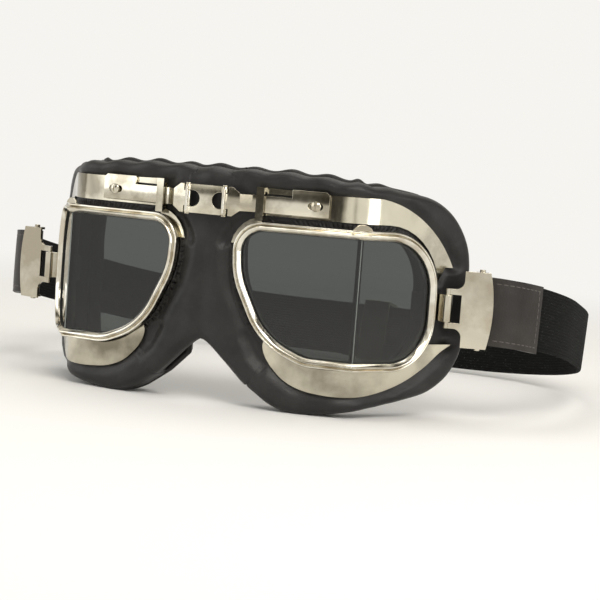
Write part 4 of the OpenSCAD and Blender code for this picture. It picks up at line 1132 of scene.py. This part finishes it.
def make_camera():
    data = configured(
        bpy.data.cameras.new("camera"), sensor_width=SENSOR, lens=FOCAL_PX / FRAME_PX * SENSOR,
        shift_y=CENTRE_DROP_PX / FRAME_PX, clip_start=0.01, clip_end=50)
    c, s = direction(AZIMUTH)
    back = np.array([s * math.cos(ELEVATION), -c * math.cos(ELEVATION), math.sin(ELEVATION)])
    right = Vector((c, s, 0))
    forward = Vector(-back)
    up = right.cross(forward)
    turned = Matrix.Rotation(-ROLL, 3, forward)
    right, up = turned @ right, turned @ up
    axes = Matrix((right, up, -forward)).transposed().to_4x4()
    obj = add_object("camera", data)
    obj.matrix_world = Matrix.Translation(place(CAMERA_TARGET + back * CAMERA_FAR)) @ axes
    bpy.context.scene.camera = obj


def add_lamp(name, at, size, power, colour):
    data = configured(
        bpy.data.lights.new(name, "AREA"), shape="RECTANGLE", size=size[0], size_y=size[1], energy=power,
        color=colour)
    turned = (Vector(LAMP_AIM) - Vector(at)).to_track_quat("-Z", "Y")
    configured(
        add_object(name, data), location=at, rotation_mode="QUATERNION", rotation_quaternion=turned,
        visible_camera=False)


def seen_directly(tree):
    """1 for what the camera, a mirror or a pane shows, 0 for light that only falls on things."""
    path = node(tree, "ShaderNodeLightPath").outputs
    seen = maths(tree, "MAXIMUM", path["Is Camera Ray"], path["Is Glossy Ray"])
    return maths(tree, "MAXIMUM", seen, path["Is Transmission Ray"])


def make_floor():
    """Pale floor that fades into the background away from the object."""
    made, tree, shader = material(
        "pale_floor", Roughness=0.9, Specular_IOR_Level=0.1, Base_Color=(0.88, 0.87, 0.85, 1))
    away = node(tree, "ShaderNodeVectorMath", {0: coordinates(tree)}, operation="LENGTH").outputs["Value"]
    share = maths(tree, "MULTIPLY", faded(tree, away, 0.22, 0.7), seen_directly(tree))
    glow = node(tree, "ShaderNodeEmission", {"Color": BACKGROUND, "Strength": 1.0})
    pick = node(tree, "ShaderNodeMixShader", {"Fac": share, 1: shader.outputs[0], 2: glow.outputs[0]})
    feed(tree, tree.nodes["Material Output"], Surface=pick.outputs[0])
    mesh = bpy.data.meshes.new("floor")
    ends = (-FLOOR_HALF, FLOOR_HALF)
    mesh.from_pydata([(x, y, 0) for x in ends for y in ends], [], [(0, 2, 3, 1)])
    mesh.materials.append(made)
    add_object("floor", mesh)


def make_world():
    """Plain pale backdrop, and above it a dim room with soft bright patches for the chrome to show."""
    world = bpy.data.worlds.new("studio")
    bpy.context.scene.world = world
    world.use_nodes = True
    tree = world.node_tree
    way = coordinates(tree, "Generated")
    patches = ramp(tree, clouds(tree, 1.9, 2, 0.5, way), [
        (0.42, (0.06, 0.055, 0.045)), (0.50, (0.55, 0.53, 0.46)), (0.58, (1.0, 0.98, 0.92))])
    height = node(tree, "ShaderNodeSeparateXYZ", {0: way}).outputs["Z"]
    room = node(tree, "ShaderNodeMix", {
        "Factor": faded(tree, height, 0.09, 0.2), "A": BACKGROUND, "B": patches}, data_type="RGBA")
    lit, seen = (
        node(tree, "ShaderNodeBackground", {"Strength": strength, "Color": room.outputs["Result"]}).outputs[0]
        for strength in (ROOM_LIGHT, ROOM_SEEN))
    pick = node(tree, "ShaderNodeMixShader", {"Fac": seen_directly(tree), 1: lit, 2: seen})
    tree.nodes.remove(tree.nodes["Background"])
    feed(tree, tree.nodes["World Output"], Surface=pick.outputs[0])


MAKERS = [
    make_rim, make_brow_band, make_crescent, make_pad, make_saddle, make_binding, make_nose_binding,
    make_pane_joint, make_cushion, make_tab, make_stitches, make_elastic]

for side in SIDES:
    make_hinge_bead(side)
make_camera()
make_floor()
make_world()
add_lamp("key", (0.55, -0.75, 0.85), (0.7, 0.5), 8.0, (1.0, 0.97, 0.92))
add_lamp("fill", (-0.9, -0.6, 0.5), (0.9, 0.9), 4.0, (0.95, 0.97, 1.0))
add_lamp("top", (0.0, 0.25, 1.1), (0.9, 0.9), 5.0, (1.0, 0.98, 0.95))
add_lamp("side", (0.95, -0.37, 0.33), (0.45, 0.6), 2.6, (1.0, 0.99, 0.97))
for side in SIDES:
    for make in MAKERS:
        make(side)

bpy.context.scene.view_settings.view_transform = "Standard"
